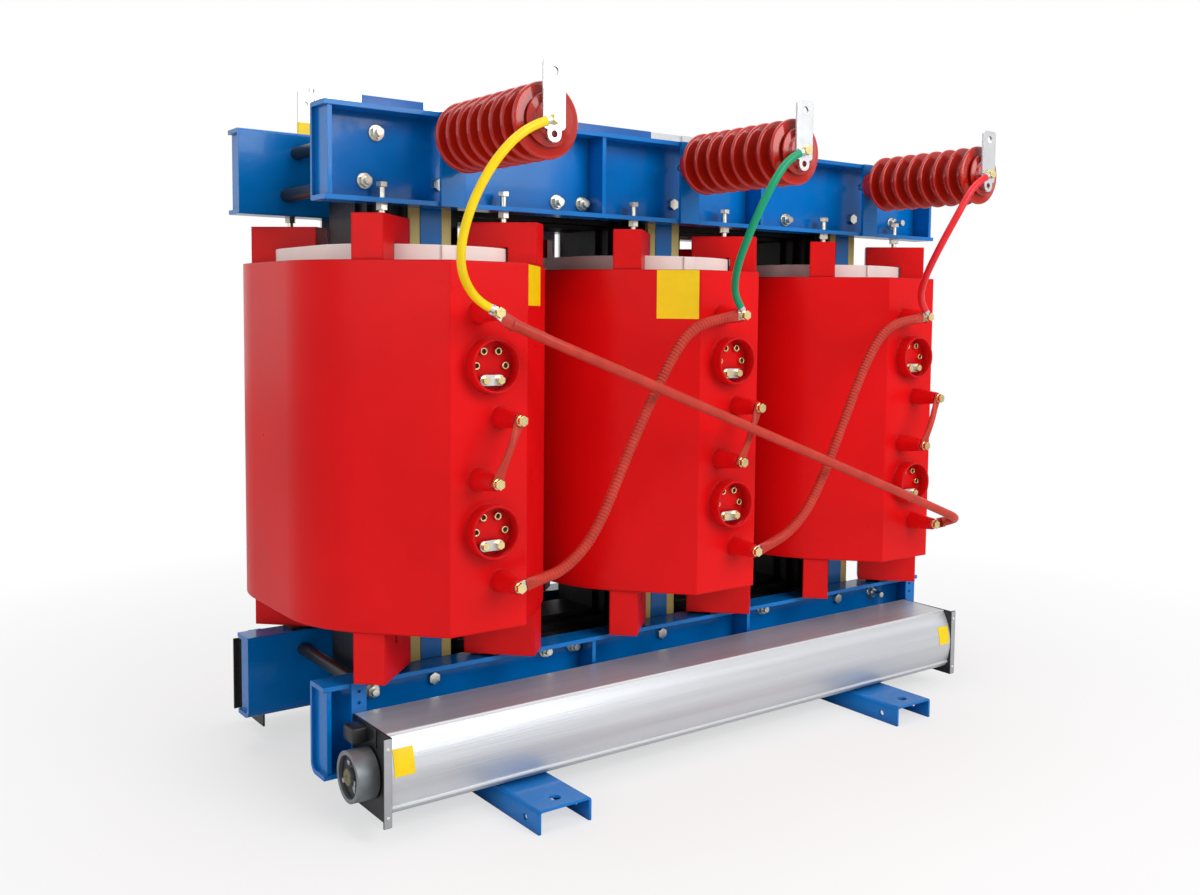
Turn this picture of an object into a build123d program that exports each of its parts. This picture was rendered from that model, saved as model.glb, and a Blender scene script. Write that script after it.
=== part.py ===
"""Three phase cast resin dry type transformer with a bank of cross-flow fans on each side.

Frame: X runs along the three phases, -Y is the high voltage side, +Z is up and the floor is z = 0.
All lengths are in millimetres. Every sub-part is written to parts/NODE.step.
"""
from build123d import *
from math import acos, atan2, cos, degrees, hypot, radians, sin
import os

# ------------------------------------------------------------------ driving dimensions
phase_pitch = 640.0
phases = {"a": -phase_pitch, "b": 0.0, "c": phase_pitch}

# feet
foot_half_length = 569.0
foot_width = 128.0
foot_height = 50.0
foot_wall = 6.0
foot_bend = 9.0
foot_x = 537.0
foot_hole_inset = 39.0
foot_hole_radius = 12.0
foot_side_hole_radius = 7.0
foot_side_hole_inset = 52.0
foot_side_hole_z = 21.0
packer_inset = 14.0
packer_setback = 4.0

# magnetic core: oblong stepped limbs, (half width in X, half depth in Y) of each packet
core_steps = [(118.0, 60.0), (108.0, 100.0), (96.0, 130.0), (78.0, 155.0), (56.0, 175.0)]
core_height = 1430.0

# clamps: the lower one stands above the underside of the core, the upper one below its top
clamp_half_length = 918.0
clamp_height = 193.0
clamp_web = 8.0
clamp_flange = 10.0
clamp_bend = 5.0
upper_clamp_drop = 224.0
upper_web_y = 218.0
upper_tip_y = 280.0
lower_clamp_rise = 33.0
lower_web_y = 195.0
lower_tip_y = 257.0
lower_bend = 24.0
rib_thickness = 10.0
rib_setback = 3.0
end_rib_inset = 13.0
inner_rib_x = 247.0
web_hole_radius = 9.0

# studs through both clamps: (X, height above the clamp's lower edge)
upper_stud_places = [(-807, 47), (-781, 146), (-339, 34), (-269, 34), (269, 34), (385, 34), (781, 146), (807, 47)]
lower_stud_places = [(-785, 148), (-348, 163), (-269, 163), (269, 163), (348, 163), (785, 148)]
stud_radius = 8.0
stud_hole_radius = 11.0
nut_width = 24.0
nut_height = 13.0
stud_tail = 10.0
long_stud_tail = 30.0
long_stud_x = 783.0
sleeve_radius = 15.0
sleeve_clearance = 1.0

# tie plates between the clamps, with boards and strips against the core
tie_width = 50.0
tie_clearance = 2.0
tie_low_margin = 12.0
tie_high_margin = 13.0
tie_bolt_upper_rise = 50.0
tie_bolt_lower_rise = 150.0
tie_bolt_radius = 7.5
tie_bolt_head = 10.0
board_margin = 8.0
board_clearance = 1.0
strip_width = 23.0

# coils: an oblong plan, two half rounds about (0, -coil_offset) and (0, +coil_offset)
coil_offset = 105.0
coil_low_z = 390.0
coil_height = 750.0
hv_radius = 290.0
hv_inner_radius = 232.0
board_y = 438.0
board_half_width = 89.0
lv_radius = 202.0
lv_inner_radius = 152.0
lv_overhang = 15.0
barrier_radius = 218.0
barrier_wall = 5.0
barrier_overhang = 35.0

# tapping rings, their inserts and link plates on the high voltage face
ring_radius = 55.0
ring_wall = 5.0
ring_length = 31.0
ring_offset_z = 167.0
insert_circle_radius = 33.5
insert_radius = 8.0
insert_length = 8.0
link_plate_thickness = 4.0
link_plate_width = 22.0
tap_bolt_width = 15.0
tap_bolt_height = 9.0

# terminal posts on the high voltage face, with the jumper between the middle two
post_base_radius = 23.0
post_tip_radius = 15.0
post_length = 72.0
post_x = 26.0
post_outer_z = 273.0
post_inner_z = 61.0
jumper_thickness = 6.0
jumper_end_width = 22.0
jumper_waist = 13.0
jumper_flat_share = 0.32
terminal_washer_radius = 11.0
terminal_washer_height = 2.5
terminal_head_width = 19.0
terminal_head_height = 9.0
tongue_thickness = 3.0

# support blocks between the coils and the clamps, standing at 45 degrees
block_angle = 45.0
block_half_width = 33.0
block_inner_radius = 125.0
block_outer_radius = 285.0
block_slot_clearance = 3.0
pad_size = 52.0
pad_height = 7.0
pad_y = 227.0

# push bolts through the flange of the upper clamp
push_gap = 24.0
push_bolt_x = 143.0
push_bolt_y = 250.0
push_bolt_radius = 7.0
push_bolt_clearance = 0.3
push_bolt_rise = 34.0
push_bolt_head = 10.0
push_nut_width = 22.0

# high voltage insulators, lying along -Y on bars across the front of the upper clamp
insulator_rise = 136.0
bar_width = 56.0
bar_thickness = 8.0
bar_hole_radius = 8.5
shed_count = 8
shed_radius = 71.5
shed_first = 57.0
shed_pitch = 42.0
shed_edge = 6.0
shed_front_run = 20.0
shed_back_run = 8.0
core_rod_radius = 40.0
base_disc_radius = 36.0
base_disc_length = 16.0
base_taper = 4.0
end_disc_radius = 50.0
end_disc_length = 9.0
nose_radius = 34.0
nose_length = 9.0
fixing_radius = 8.0
fixing_reach = 34.0
fixing_washer_radius = 19.0
fixing_washer_height = 4.0
fixing_nut_width = 27.0
fixing_nut_height = 15.0

# high voltage terminal straps: heights from the axis of the insulator
strap_width = 48.0
strap_thickness = 5.0
strap_corner = 8.0
strap_drop = 20.0
strap_rise = 105.0
strap_hole_rise = 85.0
strap_hole_radius = 8.5
tab_radius = 15.0
tab_drop = 28.0
tab_neck = 20.0
tab_hole_radius = 6.5

# sleeved ends and lugs of the delta links
link_radius = 11.0
link_lug_width = 21.0
link_sleeve_start = 17.0
link_sleeve_end = 48.0
link_sleeve_width = 26.0
link_sleeve_depth = 5.5
link_sleeve_back = 2.5

# phase leads and their lugs
lead_radius = 8.5
lug_stub_start = 15.0
lug_stub_end = 25.0
lug_stub_overlap = 4.0
lug_barrel_wall = 1.0
lead_lug_width = 20.0

# low voltage bars: heights from the axis of the insulators
lv_bar_width = 40.0
lv_bar_thickness = 8.0
lv_bar_offset_x = 28.0
lv_bar_bend = 16.0
lv_bar_inset = 11.0
phase_bar_y = 440.0
phase_bend_drop = 100.0
phase_bar_rise = 196.0
neutral_bar_y = 472.0
neutral_bend_drop = 60.0
neutral_bar_rise = 214.0
neutral_depth = 60.0
neutral_overhang = 1.0
lv_terminal_hole = 6.5
lv_terminal_inset = 30.0
support_plate_width = 120.0
support_radius = 24.0

# cross-flow fans
fan_half_length = 853.0
fan_depth = 167.0
fan_top_z = 213.0
fan_sheet = 2.5
fan_foot_clearance = 0.3
fan_back_lip = 26.0
fan_tray_length = 44.0
end_plate = 4.0
end_flange = 17.0
end_flange_proud = 6.0
end_plate_low_z = 34.0
impeller_front_gap = 34.0
impeller_back_gap = 33.0
impeller_rise = 68.0
impeller_end_gap = 6.0
blade_count = 18
blade_depth = 14.0
blade_thickness = 2.0
blade_pitch_angle = 25.0
disc_count = 5
disc_thickness = 3.0
disc_inset = 1.0
shaft_radius = 5.0
shaft_clearance = 0.1
shaft_motor_reach = 8.0
shaft_free_reach = 2.0
motor_radius = 52.0
motor_length = 46.0
motor_gap = 3.0
motor_boss_radius = 26.0
motor_rim = 9.0
motor_hub_radius = 17.0
motor_dish = 8.0
motor_bore_depth = 12.0
bracket_thickness = 5.0
bracket_places = ((-860.0, -827.0), (862.0, 892.0))
bracket_hole_radius = 3.5
bracket_hole_drops = (18.0, 42.0)

os.makedirs("parts", exist_ok=True)

core_low_z = foot_height
core_high_z = core_low_z + core_height
core_half_width = core_steps[0][0]
core_narrow, core_depth = core_steps[-1]
yoke_low_z = core_low_z + core_half_width
yoke_high_z = core_high_z - core_half_width
coil_high_z = coil_low_z + coil_height
coil_mid_z = coil_low_z + coil_height / 2
upper_clamp_low_z = core_high_z - upper_clamp_drop
upper_clamp_high_z = upper_clamp_low_z + clamp_height
lower_clamp_low_z = core_low_z + lower_clamp_rise
lower_clamp_high_z = lower_clamp_low_z + clamp_height
upper_back_y = upper_web_y - clamp_web
lower_back_y = lower_web_y - clamp_web
insulator_z = upper_clamp_low_z + insulator_rise
written = []


def save(name, solids):
    """Write one node; a list becomes a group of separate solids."""
    shape = Compound(children=list(solids)) if isinstance(solids, (list, tuple)) else solids
    export_step(shape, os.path.join("parts", name + ".step"))
    written.append(name)


def box(x0, x1, y0, y1, z0, z1):
    """A block between two corners."""
    return Pos((x0 + x1) / 2, (y0 + y1) / 2, (z0 + z1) / 2) * Box(x1 - x0, y1 - y0, z1 - z0)


def rod(start, end, radius):
    """A round bar from start to end."""
    start, end = Vector(*start), Vector(*end)
    plane = Plane(origin=start, z_dir=end - start)
    return extrude(plane * Circle(radius), (end - start).length)


def ring(start, end, outer, inner):
    """A washer or tube from start to end."""
    start, end = Vector(*start), Vector(*end)
    plane = Plane(origin=start, z_dir=end - start)
    return extrude(plane * (Circle(outer) - Circle(inner)), (end - start).length)


def hexagon(start, end, across_flats, bore=0.0):
    """A nut or bolt head from start to end."""
    start, end = Vector(*start), Vector(*end)
    plane = Plane(origin=start, z_dir=end - start)
    sketch = RegularPolygon(across_flats / 2, 6, major_radius=False)
    if bore:
        sketch = sketch - Circle(bore)
    return extrude(plane * sketch, (end - start).length)


def mirror_y(shape):
    """The same piece on the low voltage side."""
    return mirror(shape, about=Plane.XZ)


# ------------------------------------------------------------------ feet
def foot_channel(x):
    """Folded channel, open side down, with one fixing hole near each end."""
    outer = Rectangle(foot_width, foot_height, align=(Align.CENTER, Align.MIN))
    outer = fillet(outer.vertices().group_by(Axis.Y)[-1], foot_bend)
    inner = Rectangle(foot_width - 2 * foot_wall, foot_height - foot_wall, align=(Align.CENTER, Align.MIN))
    inner = fillet(inner.vertices().group_by(Axis.Y)[-1], foot_bend - foot_wall)
    plane = Plane(origin=(x, foot_half_length, 0), x_dir=(-1, 0, 0), z_dir=(0, 1, 0))
    channel = extrude(plane * (outer - inner), -2 * foot_half_length)
    for side in (-1, 1):
        hole_y = side * (foot_half_length - foot_hole_inset)
        channel -= rod((x, hole_y, 0), (x, hole_y, foot_height + 1), foot_hole_radius)
        hole_y = side * (foot_half_length - foot_side_hole_inset)
        channel -= rod((x - foot_width, hole_y, foot_side_hole_z), (x + foot_width, hole_y, foot_side_hole_z),
                       foot_side_hole_radius)
    return channel


def foot_pads(x):
    """Steel packers between one foot and the two lower clamps."""
    half = foot_width / 2 - packer_inset
    low, high = foot_height, lower_clamp_low_z
    front = box(x - half, x + half, -lower_tip_y + packer_setback, -lower_web_y - lower_bend, low, high)
    return [front, mirror_y(front)]


save("foot_channel_left", foot_channel(-foot_x))
save("foot_channel_right", foot_channel(foot_x))
save("foot_packers", foot_pads(-foot_x) + foot_pads(foot_x))


# ------------------------------------------------------------------ core
def packets(x, z_low, z_high):
    """Stepped stack of laminations for one limb; each packet ends on the matching packet of the yoke."""
    solid = None
    inner_depth = 0.0
    for half_width, half_depth in core_steps:
        low, high = z_low + half_width, z_high - half_width
        layer = box(x - half_width, x + half_width, inner_depth, half_depth, low, high)
        pair = layer + mirror_y(layer)
        solid = pair if solid is None else solid + pair
        inner_depth = half_depth
    return solid


def yoke(z_mid):
    """Stepped yoke joining the three limbs."""
    solid = None
    for half_width, half_depth in core_steps:
        half_length = phase_pitch + half_width
        layer = box(-half_length, half_length, -half_depth, half_depth, z_mid - half_width, z_mid + half_width)
        solid = layer if solid is None else solid + layer
    return solid


upper_studs = [(x, upper_clamp_low_z + rise) for x, rise in upper_stud_places]
lower_studs = [(x, lower_clamp_low_z + rise) for x, rise in lower_stud_places]
tie_bolt_upper_z = upper_clamp_low_z + tie_bolt_upper_rise
tie_bolt_lower_z = lower_clamp_low_z + tie_bolt_lower_rise


def drilled(solid, places):
    """Clear holes right through for the clamp studs."""
    reach = core_depth + 1
    for x, z in places:
        solid -= rod((x, -reach, z), (x, reach, z), stud_hole_radius)
    return solid


for name, x in phases.items():
    save("core_limb_" + name, packets(x, yoke_low_z, yoke_high_z))
save("core_upper_yoke", drilled(yoke(yoke_high_z), upper_studs))
save("core_lower_yoke", drilled(yoke(yoke_low_z), lower_studs))


# ------------------------------------------------------------------ clamps
def clamp_profile(web_y, tip_y, low_z, high_z, low_bend):
    """Folded channel section, web towards the core and both flanges outwards."""
    inner_y = web_y
    back_y = web_y - clamp_web
    outline = [(-tip_y, high_z), (-back_y, high_z), (-back_y, low_z), (-tip_y, low_z),
               (-tip_y, low_z + clamp_flange), (-inner_y, low_z + clamp_flange),
               (-inner_y, high_z - clamp_flange), (-tip_y, high_z - clamp_flange)]
    face = make_face(Polyline(*outline, close=True))
    bends = [(outline[1], clamp_bend), (outline[2], low_bend)]
    if low_bend > clamp_bend + 1:
        bends.append((outline[5], low_bend - clamp_web))
    for corner, radius in bends:
        near = face.vertices().sort_by_distance(Vector(*corner))[0]
        face = fillet(near, radius)
    return face


def clamp(web_y, tip_y, low_z, low_bend, holes):
    """One clamp beam with its welded ribs and drilled web."""
    high_z = low_z + clamp_height
    face = clamp_profile(web_y, tip_y, low_z, high_z, low_bend)
    plane = Plane(origin=(-clamp_half_length, 0, 0), x_dir=(0, 1, 0), z_dir=(1, 0, 0))
    beam = extrude(plane * face, 2 * clamp_half_length)
    for x in (-clamp_half_length + end_rib_inset, -inner_rib_x, inner_rib_x, clamp_half_length - end_rib_inset):
        beam += box(x - rib_thickness / 2, x + rib_thickness / 2, -tip_y + rib_setback, -web_y + 1,
                    low_z + clamp_flange - 1, high_z - clamp_flange + 1)
    for x, z in holes:
        beam -= rod((x, -web_y - 1, z), (x, -web_y + clamp_web + 1, z), web_hole_radius)
    return beam


upper_holes = upper_studs + [(x, tie_bolt_upper_z) for x in phases.values()]
lower_holes = lower_studs + [(x, tie_bolt_lower_z) for x in phases.values()]
upper_clamp = clamp(upper_web_y, upper_tip_y, upper_clamp_low_z, clamp_bend, upper_holes)
for x in phases.values():
    for side in (-1, 1):
        place = (x + side * push_bolt_x, -push_bolt_y)
        upper_clamp -= rod((*place, upper_clamp_low_z - 1), (*place, upper_clamp_low_z + clamp_flange + 1),
                           push_bolt_radius)
lower_clamp = clamp(lower_web_y, lower_tip_y, lower_clamp_low_z, lower_bend, lower_holes)
save("upper_clamp_front", upper_clamp)
save("upper_clamp_rear", mirror_y(upper_clamp))
save("lower_clamp_front", lower_clamp)
save("lower_clamp_rear", mirror_y(lower_clamp))


# ------------------------------------------------------------------ coils
def oblong(radius):
    """Plan of a coil surface: a slot shape longer in Y."""
    return Rot(0, 0, 90) * SlotCenterToCenter(2 * coil_offset, 2 * radius)


def hv_plan():
    """Oblong outer surface with a flat terminal board carried out on tangents at the front."""
    reach = board_y - coil_offset
    spread = degrees(acos(hv_radius / hypot(board_half_width, reach)))
    angle = radians(spread + degrees(atan2(board_half_width, reach)))
    tangent = (hv_radius * sin(angle), -coil_offset - hv_radius * cos(angle))
    wedge = make_face(Polyline((-tangent[0], tangent[1]), (-board_half_width, -board_y),
                               (board_half_width, -board_y), tangent, close=True))
    return oblong(hv_radius) + wedge


def radial_plane(x, y, z):
    """Plane on the high voltage face with its normal towards -Y."""
    return Plane(origin=(x, y, z), x_dir=(1, 0, 0), z_dir=(0, -1, 0))


def tap_ring(x, z):
    return extrude(radial_plane(x, -board_y + 1, z) * (Circle(ring_radius) - Circle(ring_radius - ring_wall)),
                   ring_length + 1)


def post(x, z):
    """Tapered resin post that carries a terminal."""
    cone = Cone(post_base_radius, post_tip_radius, post_length + 1, align=(Align.CENTER, Align.CENTER, Align.MIN))
    return radial_plane(x, -board_y + 1, z) * cone


post_places = [(-post_x, post_outer_z), (post_x, post_inner_z), (-post_x, -post_inner_z), (post_x, -post_outer_z)]


def hv_coil(x):
    """One cast winding with its terminal board, tapping rings and posts."""
    coil = extrude(Pos(0, 0, coil_low_z) * (hv_plan() - oblong(hv_inner_radius)), coil_height)
    for side in (-1, 1):
        coil += tap_ring(0, coil_mid_z + side * ring_offset_z)
    for px, pz in post_places:
        coil += post(px, coil_mid_z + pz)
    return Pos(x, 0, 0) * coil


def tube(x, outer, inner, overhang):
    low = coil_low_z - overhang
    height = coil_height + 2 * overhang
    return Pos(x, 0, low) * extrude(oblong(outer) - oblong(inner), height)


for name, x in phases.items():
    save("hv_coil_" + name, hv_coil(x))
    save("lv_coil_" + name, tube(x, lv_radius, lv_inner_radius, lv_overhang))
save("barrier_cylinders", [tube(x, barrier_radius, barrier_radius - barrier_wall, barrier_overhang)
                           for x in phases.values()])


# ------------------------------------------------------------------ support blocks
def block(x, angle, end_y, seat_z, coil_z, direction):
    """One stepped block: it bears on both windings and straddles the barrier cylinder."""
    slot_in = barrier_radius - barrier_wall - block_slot_clearance
    slot_out = barrier_radius + block_slot_clearance
    slot_z = coil_z + direction * (barrier_overhang + block_slot_clearance)
    lv_z = coil_z + direction * lv_overhang
    outline = [(block_inner_radius, seat_z), (block_outer_radius, seat_z), (block_outer_radius, coil_z),
               (slot_out, coil_z), (slot_out, slot_z), (slot_in, slot_z), (slot_in, lv_z),
               (block_inner_radius, lv_z)]
    face = make_face(Polyline(*outline, close=True))
    plane = Plane(origin=(0, block_half_width, 0), x_dir=(1, 0, 0), z_dir=(0, -1, 0))
    solid = extrude(plane * face, 2 * block_half_width)
    return Pos(x, end_y, 0) * Rot(0, 0, angle) * solid


top_block_high_z = upper_clamp_low_z - push_gap
low_block_seat_z = lower_clamp_high_z + pad_height


def coil_blocks(x):
    blocks = []
    for seat_z, coil_z, direction in ((top_block_high_z, coil_high_z, 1), (low_block_seat_z, coil_low_z, -1)):
        for end in (-1, 1):
            for side in (-1, 1):
                angle = end * (90 + side * block_angle)
                blocks.append(block(x, angle, end * coil_offset, seat_z, coil_z, direction))
    return blocks


for name, x in phases.items():
    save("coil_blocks_" + name, coil_blocks(x))

pads = []
for x in phases.values():
    for side in (-1, 1):
        pad_x = x + side * push_bolt_x
        pad = box(pad_x - pad_size / 2, pad_x + pad_size / 2, -pad_y - pad_size / 2, -pad_y + pad_size / 2,
                  lower_clamp_high_z, lower_clamp_high_z + pad_height)
        pads += [pad, mirror_y(pad)]
save("coil_pads", pads)


def push_bolt(x, y):
    """Long screw through the clamp flange that bears on a block."""
    head_z = upper_clamp_low_z + clamp_flange + push_bolt_rise
    shank = rod((x, y, top_block_high_z), (x, y, head_z), push_bolt_radius - push_bolt_clearance)
    head = hexagon((x, y, head_z - push_bolt_head), (x, y, head_z), push_nut_width)
    lock_nut_z = upper_clamp_low_z - nut_height
    return shank + head + hexagon((x, y, lock_nut_z), (x, y, upper_clamp_low_z), push_nut_width)


save("push_bolts", [push_bolt(x + side * push_bolt_x, end * push_bolt_y)
                    for x in phases.values() for side in (-1, 1) for end in (-1, 1)])


# ------------------------------------------------------------------ high voltage insulators and terminals
last_shed = shed_first + (shed_count - 1) * shed_pitch
end_disc_start = last_shed + shed_back_run
nose_start = end_disc_start + end_disc_length
insulator_length = nose_start + nose_length


def insulator_profile():
    """Half section: base disc, sheds with sloping backs, and two stepped end discs."""
    points = [(0, 0), (base_disc_radius, 0), (base_disc_radius, base_disc_length),
              (core_rod_radius, base_disc_length + base_taper)]
    for i in range(shed_count):
        y = shed_first + i * shed_pitch
        points += [(core_rod_radius, y - shed_front_run), (shed_radius, y - shed_edge / 2),
                   (shed_radius, y + shed_edge / 2), (core_rod_radius, y + shed_back_run)]
    points += [(end_disc_radius, end_disc_start), (end_disc_radius, nose_start), (nose_radius, nose_start),
               (nose_radius, insulator_length), (0, insulator_length)]
    return points


bar_front_y = upper_tip_y + bar_thickness
strap_back_y = bar_front_y + insulator_length


def insulator(x):
    face = make_face(Polyline(*insulator_profile(), close=True))
    solid = revolve(face, Axis.Y)
    return Pos(x, -bar_front_y, insulator_z) * Rot(180, 0, 0) * solid


def insulator_bar(x):
    bar = box(x - bar_width / 2, x + bar_width / 2, -bar_front_y, -upper_tip_y, upper_clamp_low_z, upper_clamp_high_z)
    return bar - rod((x, -bar_front_y - 1, insulator_z), (x, -upper_tip_y + 1, insulator_z), bar_hole_radius)


def insulator_fixing(x):
    """Stud, washer and nut on the back of the bar."""
    y = -upper_tip_y
    washer_y = y + fixing_washer_height
    solid = rod((x, -bar_front_y, insulator_z), (x, y + fixing_reach, insulator_z), fixing_radius)
    solid += rod((x, y, insulator_z), (x, washer_y, insulator_z), fixing_washer_radius)
    return solid + hexagon((x, washer_y, insulator_z), (x, washer_y + fixing_nut_height, insulator_z), fixing_nut_width)


def strap(x):
    """Flat terminal with a round top hole and a narrow round tab below."""
    height = strap_rise + strap_drop
    body = Pos(0, strap_rise - height / 2) * RectangleRounded(strap_width, height, strap_corner)
    tab = Pos(0, -tab_drop) * Circle(tab_radius)
    tab += Pos(0, -tab_drop + tab_neck / 2) * Rectangle(2 * tab_radius, tab_neck)
    sketch = body + tab - Pos(0, strap_hole_rise) * Circle(strap_hole_radius)
    sketch -= Pos(0, -tab_drop) * Circle(tab_hole_radius)
    plane = Plane(origin=(x, -strap_back_y, insulator_z), x_dir=(1, 0, 0), z_dir=(0, -1, 0))
    return extrude(plane * sketch, strap_thickness)


save("post_insulators", [insulator(x) for x in phases.values()])
save("insulator_bars", [insulator_bar(x) for x in phases.values()])
save("insulator_fixings", [insulator_fixing(x) for x in phases.values()])
save("hv_terminal_straps", [strap(x) for x in phases.values()])


# ------------------------------------------------------------------ tie plates, boards and clamp fasteners
tie_back_y = core_depth + tie_clearance
tie_low_z = lower_clamp_low_z + tie_low_margin
tie_high_z = upper_clamp_high_z - tie_high_margin


def tie_plate(x):
    """Flat steel tie between the lower and the upper clamp."""
    front = lower_web_y - clamp_web
    plate = box(x - tie_width / 2, x + tie_width / 2, -front, -tie_back_y, tie_low_z, tie_high_z)
    for z in (tie_bolt_lower_z, tie_bolt_upper_z):
        plate -= rod((x, -front - 1, z), (x, -tie_back_y + 1, z), stud_radius)
    return plate


tie_plates = [tie_plate(x) for x in phases.values()]
save("tie_plates", tie_plates + [mirror_y(plate) for plate in tie_plates])


def press_boards(back_y, low_z, high_z, holes):
    """Laminated boards between the core and one clamp, slotted for the tie plates."""
    half_length = phase_pitch + core_narrow
    board = box(-half_length, half_length, -back_y, -core_depth, low_z, high_z)
    for x in phases.values():
        half_slot = tie_width / 2 + board_clearance
        board -= box(x - half_slot, x + half_slot, -lower_back_y, -core_depth + 1, 0, core_high_z)
    for x, z in holes:
        board -= rod((x, -back_y - 1, z), (x, -core_depth + 1, z), stud_hole_radius)
    return board


upper_board = press_boards(upper_back_y, yoke_high_z - core_narrow, upper_clamp_high_z - board_margin, upper_holes)
lower_board = press_boards(lower_back_y, lower_clamp_low_z + board_margin, yoke_low_z + core_narrow, lower_holes)
front_boards = list(upper_board.solids()) + list(lower_board.solids())
save("press_boards", front_boards + [mirror_y(piece) for piece in front_boards])


def limb_strips(x):
    """Insulating strips along the limb on both sides of each tie plate."""
    strips = []
    for side in (-1, 1):
        near = x + side * (tie_width / 2 + board_clearance)
        far = near + side * strip_width
        strip = box(min(near, far), max(near, far), -lower_back_y + board_clearance, -core_depth,
                    yoke_low_z + core_narrow, yoke_high_z - core_narrow)
        strips += [strip, mirror_y(strip)]
    return strips


save("limb_strips", [strip for x in phases.values() for strip in limb_strips(x)])


def stud(x, z, web_y, tail):
    """Through stud with a nut against each clamp web."""
    reach = web_y + nut_height + tail
    solid = rod((x, -reach, z), (x, reach, z), stud_radius)
    solid += hexagon((x, -web_y - nut_height, z), (x, -web_y, z), nut_width)
    return solid + hexagon((x, web_y, z), (x, web_y + nut_height, z), nut_width)


studs = []
for places, web_y in ((upper_studs, upper_web_y), (lower_studs, lower_web_y)):
    for x, z in places:
        tail = long_stud_tail if x > long_stud_x else stud_tail
        studs.append(stud(x, z, web_y, tail))
save("clamp_studs", studs)

sleeves = []
for places, back_y in ((upper_studs, upper_back_y), (lower_studs, lower_back_y)):
    for x, z in places:
        if abs(x) > phase_pitch + core_half_width:
            sleeves.append(ring((x, -back_y, z), (x, back_y, z), sleeve_radius, stud_radius + sleeve_clearance))
save("stud_sleeves", sleeves)


def tie_bolt(x, z, web_y):
    """Short bolt that fixes a tie plate to a clamp web."""
    solid = rod((x, -web_y, z), (x, -tie_back_y, z), tie_bolt_radius)
    return solid + hexagon((x, -web_y - tie_bolt_head, z), (x, -web_y, z), nut_width)


tie_bolts = []
for x in phases.values():
    tie_bolts += [tie_bolt(x, tie_bolt_lower_z, lower_web_y), tie_bolt(x, tie_bolt_upper_z, upper_web_y)]
save("tie_plate_bolts", tie_bolts + [mirror_y(bolt) for bolt in tie_bolts])


# ------------------------------------------------------------------ high voltage taps and terminals
def toward_front(x, z, y0, y1, radius):
    """Round piece on the high voltage face between two depths."""
    return rod((x, -y0, z), (x, -y1, z), radius)


tap_angles = range(0, 360, 60)
linked_angles = (240, 300)


def tap_places(x, z, angles):
    return [(x + insert_circle_radius * cos(radians(angle)), z + insert_circle_radius * sin(radians(angle)))
            for angle in angles]


tap_centres = [(x, coil_mid_z + side * ring_offset_z) for x in phases.values() for side in (-1, 1)]
inserts = []
link_plates = []
tap_bolts = []
link_y = board_y + insert_length
for cx, cz in tap_centres:
    for x, z in tap_places(cx, cz, tap_angles):
        inserts.append(toward_front(x, z, board_y, link_y, insert_radius))
    (x0, z0), (x1, z1) = tap_places(cx, cz, linked_angles)
    slot = SlotCenterToCenter(hypot(x1 - x0, z1 - z0), link_plate_width)
    plane = Plane(origin=((x0 + x1) / 2, -link_y, z0), x_dir=(1, 0, 0), z_dir=(0, -1, 0))
    link_plates.append(extrude(plane * slot, link_plate_thickness))
    for x, z in ((x0, z0), (x1, z1)):
        head_y = link_y + link_plate_thickness
        tap_bolts.append(hexagon((x, -head_y, z), (x, -head_y - tap_bolt_height, z), tap_bolt_width))
save("tap_inserts", inserts)
save("tap_link_plates", link_plates)

post_tip = board_y + post_length


def terminal_bolt(x, z, seat):
    """Brass bolt and washer on the front of a stack of lugs."""
    solid = toward_front(x, z, seat, seat + terminal_washer_height, terminal_washer_radius)
    top = seat + terminal_washer_height
    return solid + hexagon((x, -top, z), (x, -top - terminal_head_height, z), terminal_head_width)


def jumper(x):
    """Sleeved flat link between the two middle posts, pinched round at its waist."""
    low = Vector(x - post_x, coil_mid_z - post_inner_z)
    high = Vector(x + post_x, coil_mid_z + post_inner_z)
    length = (high - low).length
    angle = degrees(atan2(high.Y - low.Y, high.X - low.X))
    end = Circle(jumper_end_width / 2)
    flat = Rectangle(length * jumper_flat_share, jumper_end_width)
    flat_x = length * (1 - jumper_flat_share) / 2
    shape = Pos(-length / 2, 0) * end + Pos(length / 2, 0) * end
    shape += Pos(-flat_x, 0) * flat + Pos(flat_x, 0) * flat + Rectangle(length, jumper_waist)
    middle = (low + high) / 2
    plane = Plane(origin=(middle.X, -post_tip, middle.Y), x_dir=(1, 0, 0), z_dir=(0, -1, 0))
    return extrude(plane * Rot(0, 0, angle) * shape, jumper_thickness)


save("tap_jumpers", [jumper(x) for x in phases.values()])

terminal_bolts = list(tap_bolts)
for name, x in phases.items():
    terminal_bolts.append(terminal_bolt(x - post_x, coil_mid_z + post_outer_z, post_tip + 2 * tongue_thickness))
    terminal_bolts.append(terminal_bolt(x + post_x, coil_mid_z - post_outer_z, post_tip + tongue_thickness))
    for side in (-1, 1):
        place = (x + side * post_x, coil_mid_z + side * post_inner_z)
        terminal_bolts.append(terminal_bolt(*place, post_tip + jumper_thickness))
    terminal_bolts.append(terminal_bolt(x, insulator_z, strap_back_y + strap_thickness + tongue_thickness))
save("terminal_bolts", terminal_bolts)


# ------------------------------------------------------------------ links and leads
def bends(points):
    """Radius of each bend: 0.45 of the shorter run over the tangent of half the turn."""
    radii = []
    for before, here, after in zip(points, points[1:], points[2:]):
        run_in = Vector(*here) - Vector(*before)
        run_out = Vector(*after) - Vector(*here)
        half_turn = radians(run_in.get_angle(run_out)) / 2
        radii.append(0.45 * min(run_in.length, run_out.length) * cos(half_turn) / sin(half_turn))
    return radii


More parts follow.
